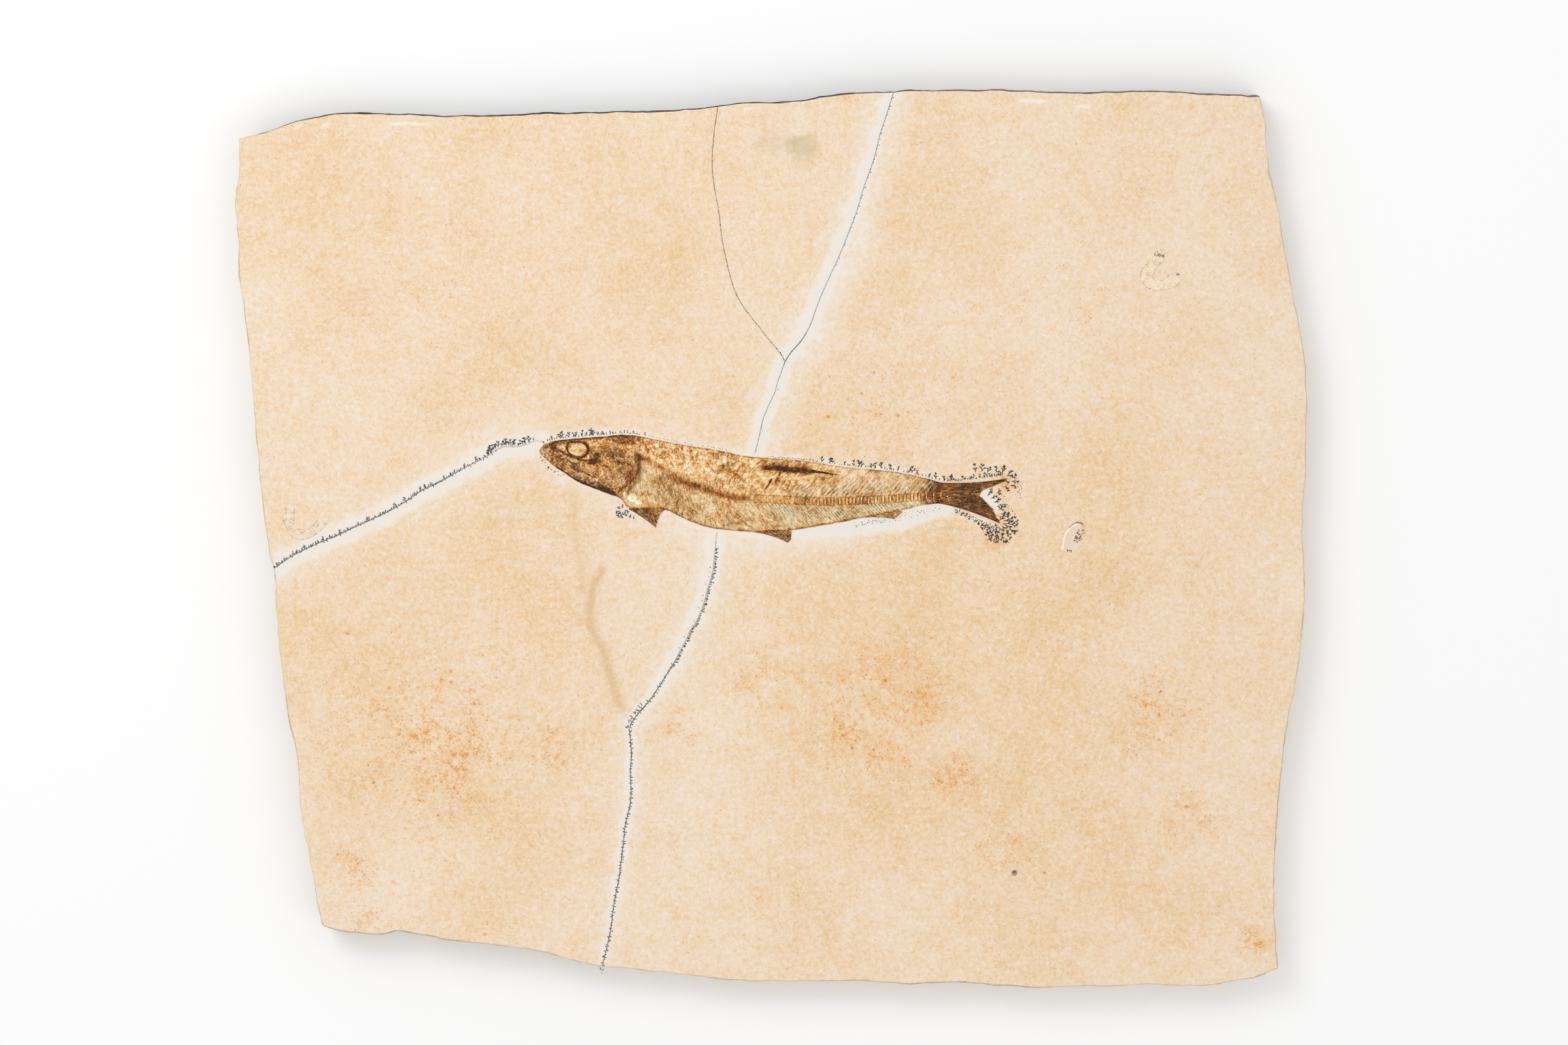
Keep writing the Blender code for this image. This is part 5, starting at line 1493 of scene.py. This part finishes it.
def diamonds(start, end, half):
    """A thin closed leaf for each stroke: the plan is a diamond from start to end, widest
    0.42 of the way, where a point stands FILM above the stone. Gives points and faces."""
    run = end - start
    side = np.stack([-run[:, 1], run[:, 0]], axis=1)
    side /= np.linalg.norm(side, axis=1, keepdims=True) + 1e-9
    middle = start + 0.42 * run
    left, right = middle + side * half[:, None], middle - side * half[:, None]
    plan = np.stack([start, right, end, left, middle], axis=1)
    z = ground(plan[..., 0], plan[..., 1])
    z = np.maximum(z, z.max(axis=1, keepdims=True) - LEAF_DIP) - FILM_ROOT
    z[:, 4] += FILM + FILM_ROOT
    points = np.concatenate([plan, z[..., None]], axis=-1).reshape(-1, 3)
    leaf = np.array([(0, 1, 4), (1, 2, 4), (2, 3, 4), (3, 0, 4), (0, 2, 1), (0, 3, 2)])
    faces = (leaf[None] + 5 * np.arange(len(start))[:, None, None]).reshape(-1, 3)
    return points, faces


def turned(direction, angle):
    """Directions turned by an angle in degrees."""
    a = np.radians(angle)
    return np.stack([direction[:, 0] * np.cos(a) - direction[:, 1] * np.sin(a),
                     direction[:, 0] * np.sin(a) + direction[:, 1] * np.cos(a)], axis=1)


def twigs(parent, at, angle, share, chance):
    """One twig on each parent stroke: from a share along it, turned by an angle, its length
    a share of the parent's."""
    start, end, half = parent
    run = end - start
    reach = np.linalg.norm(run, axis=1, keepdims=True)
    foot = start + at * run
    aim = turned(run / reach, angle + chance.uniform(-14, 14, len(start)))
    length = reach * share * chance.uniform(0.6, 1.25, (len(start), 1))
    return foot - 0.1 * aim * length, foot + aim * length, half * 0.9


def sprigs(root, heading, height, chance):
    """Small trees: a stem in two strokes with leaves in pairs along it, and on tall ones a
    smaller leaf on each leaf. Strokes too short to see are left out."""
    half = np.clip(0.13 + 0.04 * height, 0.17, 0.33)
    bend = turned(heading, chance.uniform(-14, 14, len(root)))
    knee = root + bend * height[:, None] * 0.6
    tip = root + heading * height[:, None]
    lower, upper = (root, knee, half), (knee - 0.25 * bend, tip, half)
    strokes = [lower, upper]
    for stem, at, share in ((lower, 0.4, 1.0), (upper, 0.2, 0.9)):
        for side in (-1, 1):
            leaf = twigs(stem, at, side * 27, share, chance)
            strokes.append(leaf)
            tall = height > 2.4
            for turn in (-30, 30):
                branch = twigs(leaf, 0.45, turn, 0.5, chance)
                strokes.append(tuple(each[tall] for each in branch))
    start, end, half = (np.concatenate(each) for each in zip(*strokes))
    kept = np.linalg.norm(end - start, axis=1) > 0.34
    return start[kept], end[kept], half[kept]


def dots(place, chance, low=0.13, high=0.34):
    """Single specks: very short strokes."""
    aim = turned(np.tile([[1.0, 0.0]], (len(place), 1)), chance.uniform(0, 360, len(place)))
    size = chance.uniform(low, high, len(place))
    return place - aim * size[:, None], place + aim * size[:, None] * 1.5, size * 1.1


def row_along(path, count, first, last, away, spread_by, chance):
    """Places scattered along a path between two shares of its length, set off to its left
    by a distance with some spread, and the directions that point away from it."""
    shares = first + (last - first) * (np.arange(count) + chance.uniform(0, 1, count)) / count
    place, aim = along(path, shares)
    side = np.stack([-aim[:, 1], aim[:, 0]], axis=1) * np.sign(away)
    off = np.abs(away) + chance.uniform(0, spread_by, count)
    return place + side * off[:, None], side


def outline_path(line, first_x, last_x, step=1.0):
    """The stretch of the fish's back or belly line between two x."""
    x = np.arange(first_x, last_x, step if last_x > first_x else -step)
    return np.stack([x, line(x)], axis=1)


# Rows of sprigs: path, count, first and last share, offset (plus is left of the path),
# spread, lowest and highest sprig, lean in degrees
BACK_LINE = outline_path(back_y, -119, 96)
BELLY_LINE = outline_path(belly_y, -119, 96)
SPRIG_ROWS = (
    (BACK_LINE, 26, 0.0, 0.17, 0.4, 0.4, 0.8, 1.8, 8),
    (BACK_LINE, 12, 0.02, 0.15, 0.4, 0.3, 2.4, 4.4, 4),
    (BACK_LINE, 14, 0.16, 0.25, 0.4, 0.4, 0.8, 2.4, 4),
    (BACK_LINE, 14, 0.62, 0.78, 0.5, 0.3, 0.7, 1.6, -8),
    (BACK_LINE, 6, 0.66, 0.78, 0.4, 0.3, 2.8, 4.0, -4),
    (BACK_LINE, 26, 0.76, 1.0, 0.4, 0.4, 0.8, 1.8, 0),
    (BACK_LINE, 13, 0.77, 1.0, 0.4, 0.3, 2.8, 4.8, 4),
    (((92, 29.4), (100, 29.7), (110, 31), (122, 32.2)), 34, 0, 1, 0.3, 0.6, 1.0, 3.6, 0),
    (((88, 18.4), (97, 17), (104, 14.2), (112, 10.2), (119, 7.4)), 22, 0.25, 1, -0.5, 1.2, 1.0, 3.0, 0),
    (((-120.5, 44), (-116.5, 39), (-113, 36.5)), 6, 0, 1, -0.4, 0.6, 0.8, 2.0, 0),
)
SPRIG_ROWS_ON_CRACKS = (   # crack, count, first and last share, offset, spread, low, high, lean
    (0, 130, 0.14, 0.84, 0.05, 0.1, 0.6, 1.6, -12), (0, 28, 0.14, 0.84, 0.05, 0.1, 1.6, 3.2, -12),
    (0, 44, 0.2, 0.86, -0.05, 0.1, 0.5, 1.2, 10), (0, 24, 0.82, 0.96, 0.1, 0.3, 1.4, 4.6, -10),
    (3, 90, 0.03, 0.30, 0.05, 0.12, 0.8, 2.3, 25), (3, 12, 0.06, 0.26, -0.9, 0.6, 0.5, 0.9, 20),
    (3, 110, 0.29, 0.98, 0.05, 0.1, 0.6, 1.5, 10), (3, 80, 0.29, 0.98, -0.05, 0.1, 0.5, 1.4, 10),
    (3, 14, 0.40, 0.46, -0.3, 0.8, 0.8, 2.2, 0), (1, 6, 0.72, 0.98, 0.6, 0.8, 0.4, 0.8, 0),
    (1, 26, 0.03, 0.5, 0.05, 0.2, 0.5, 1.1, 0),
)
BUSHES = (                 # root, heading in degrees, height
    ((107, 34.2), 98, 6.4), ((110.5, 34.8), 82, 5.0), ((113, 34.4), 58, 4.8),
    ((118.4, 34.4), 104, 4.4), ((120.8, 33.8), 74, 5.4), ((123.2, 32.6), 48, 5.0),
    ((125, 32.2), 22, 4.8), ((125.6, 30.2), -4, 4.6), ((125, 28.4), -24, 4.4),
    ((122.6, 28.2), -58, 4.2), ((119.4, 27), -78, 4.4), ((116.2, 27.4), -108, 3.6),
    ((122, 30.4), -14, 3.6), ((113, 22.6), 42, 4.0), ((115, 21.2), 18, 4.4),
    ((116.6, 18.8), 34, 4.8), ((118, 17.0), 8, 4.2), ((119, 15.2), 28, 5.2),
    ((120, 13.4), -4, 5.4), ((120.6, 11.4), 24, 5.6), ((121.4, 9.6), -8, 6.2),
    ((121.2, 8.4), -26, 6.0), ((120.6, 7.4), -46, 6.4), ((119.4, 6.8), -64, 6.0),
    ((118, 6.4), -82, 6.2), ((116.6, 6.6), -100, 6.0), ((115.2, 7.2), -118, 5.4),
    ((113.8, 8.0), -140, 5.0), ((119.4, 9.2), 40, 4.0), ((117.6, 8.6), -72, 3.6),
    ((124.7, 9.9), 20, 4.6), ((125.0, 7.5), -5, 5.2), ((124.4, 5.4), -28, 5.0),
    ((123.0, 3.8), -50, 5.4), ((121.2, 2.8), -72, 5.6), ((119.0, 2.5), -95, 5.2),
    ((116.9, 3.1), -118, 5.0), ((115.3, 4.5), -140, 4.4), ((127.6, 8.6), 34, 2.8),
    ((126.8, 4.6), -12, 3.2), ((122.6, 0.2), -60, 2.8), ((117.4, 0.6), -104, 2.8),
    ((-78.4, 14.6), -92, 4.2), ((-78.9, 14.8), -122, 4.0), ((-77.8, 14.8), -62, 3.6),
    ((-79.2, 15.2), -150, 3.4), ((-77.4, 15.2), -30, 3.0), ((-78.9, 15.6), 150, 2.6),
    ((-78.2, 15.6), 88, 2.6), ((-73.8, 13.4), -108, 2.6), ((-72.2, 12.4), -92, 2.2),
)
DOT_ROWS = (               # path, count, first and last share, offset, spread
    (BACK_LINE, 40, 0.25, 0.46, 0.8, 0.8), (BACK_LINE, 44, 0.55, 0.67, 0.5, 0.5),
    (BELLY_LINE, 60, 0.76, 0.97, -1.6, 3.4), (BELLY_LINE, 14, 0.78, 0.84, -2.4, 1.6),
    (BELLY_LINE, 16, 0.0, 0.06, -0.5, 2.2),
    (((98, 16), (104, 13.6), (112, 9.6), (118, 6.6)), 60, 0, 1, -0.6, 2.6),
    (((126, 33), (129, 28), (128, 22)), 30, 0, 1, 0.1, 3.0),
    (((4.4, 98), (5.9, 95.4), (6.9, 93.2)), 22, 0, 1, 0.02, 0.12),
    (((118, 24), (122, 16), (126, 10)), 36, 0, 1, 0.1, 3.4),
)


def manganese_finish():
    """Manganese film: slate black with grey patches, and dull."""
    film = Finish("manganese")
    patch = film.grain(1.4, detail=3, roughness=0.6)
    colour = film.ramp(patch, *FILM_STOPS)
    film.done(colour, 0.7 - patch * 0.15, film.bump(patch, 0.05), specular=0.3)
    return film


def manganese_dendrites(finish):
    """All the sprigs, bushes and specks as one film of thin leaves on the stone's face."""
    chance = np.random.default_rng(29)
    strokes = []

    def add_row(path, count, first, last, away, spread_by, low, high, lean):
        place, heading = row_along(np.array(path, float), count, first, last, away, spread_by, chance)
        tilt = np.sign(away) * lean + chance.uniform(-16, 16, count)
        height = low + (high - low) * chance.uniform(0, 1, count) ** 1.2
        strokes.append(sprigs(place, turned(heading, tilt), height, chance))

    for row in SPRIG_ROWS:
        add_row(*row)
    for crack, *row in SPRIG_ROWS_ON_CRACKS:
        add_row(crack_paths[crack], *row)
    root, heading, height = zip(*BUSHES)
    angle = np.radians(np.array(heading, float))
    aim = np.stack([np.cos(angle), np.sin(angle)], axis=1)
    strokes.append(sprigs(np.array(root), aim, np.array(height, float), chance))
    for path, count, first, last, away, spread_by in DOT_ROWS:
        place, _ = row_along(np.array(path, float), count, first, last, away, spread_by, chance)
        strokes.append(dots(place, chance))
    points, faces = diamonds(*(np.concatenate(each) for each in zip(*strokes)))
    return make_piece("manganese_dendrites", points, [faces], finish, "manganese")


# ============================================================ floor, lights and camera

VIEW_CENTRE = (6.65, 8.575)
VIEW_WIDTH = 823.55
SENSOR = 36.0
LENS = 85.0
LIGHTS = (                 # name, place and size in metres, power in watts
    ("key", (-1.1, 1.2, 1.6), 1.2, 15.0), ("fill", (1.3, -0.9, 1.7), 1.6, 5.0),
)


def studio():
    """A pale floor, an even white surround, a soft key from the upper left, and a camera
    that looks straight down."""
    reach = 4.0
    mesh = bpy.data.meshes.new("floor")
    mesh.from_pydata([(-reach, -reach, 0), (reach, -reach, 0), (reach, reach, 0),
                      (-reach, reach, 0)], [], [(0, 1, 2, 3)])
    floor = bpy.data.objects.new("floor", mesh)
    bpy.context.scene.collection.objects.link(floor)
    paper = Finish("floor_paper")
    paper.done(srgb(250, 250, 250), 0.9, specular=0.1)
    mesh.materials.append(paper.material)

    world = bpy.data.worlds.new("surround")
    bpy.context.scene.world = world
    world.use_nodes = True
    backdrop = world.node_tree.nodes["Background"]
    backdrop.inputs["Color"].default_value = (1, 1, 1, 1)
    backdrop.inputs["Strength"].default_value = 0.78

    for name, place, size, power in LIGHTS:
        light = bpy.data.lights.new(name, "AREA")
        light.size = size
        light.energy = power
        lamp = bpy.data.objects.new(name, light)
        lamp.location = place
        aim = np.array(place)
        lamp.rotation_euler = (float(np.arccos(aim[2] / np.linalg.norm(aim))), 0,
                               float(np.arctan2(aim[1], aim[0]) + np.pi / 2))
        bpy.context.scene.collection.objects.link(lamp)

    lens = bpy.data.cameras.new("camera")
    lens.sensor_width = SENSOR
    lens.lens = LENS
    lens.clip_end = 20
    camera = bpy.data.objects.new("camera", lens)
    height = TOP + VIEW_WIDTH * LENS / SENSOR
    camera.location = (VIEW_CENTRE[0] * MM, VIEW_CENTRE[1] * MM, height * MM)
    bpy.context.scene.collection.objects.link(camera)
    bpy.context.scene.camera = camera
    bpy.context.scene.view_settings.view_transform = "Standard"


# ============================================================ assembly

limestone_slab(limestone_finish())
skull(fossil_finish("skull_bone", depth=0.04, strokes=(0.95, 2.0, 1.0), contrast=1.2,
                    tangle=1.0, relief=0.16))
trunk(fossil_finish("scaled_flank", depth=-0.11, strokes=(0.8, 4.2, 1.0), scales=0.10,
                    contrast=1.0, tangle=0.8))
ray = fossil_finish("fin_ray", depth=0.06, strokes=(0.42, 3.0, 1.0))
for fin_name in FINS:
    fin(fin_name, ray)
dorsal_fin(ray)
calcite = trace_finish()
for trace_name in TRACES:
    curled_trace(trace_name, calcite)
manganese_dendrites(manganese_finish())
studio()
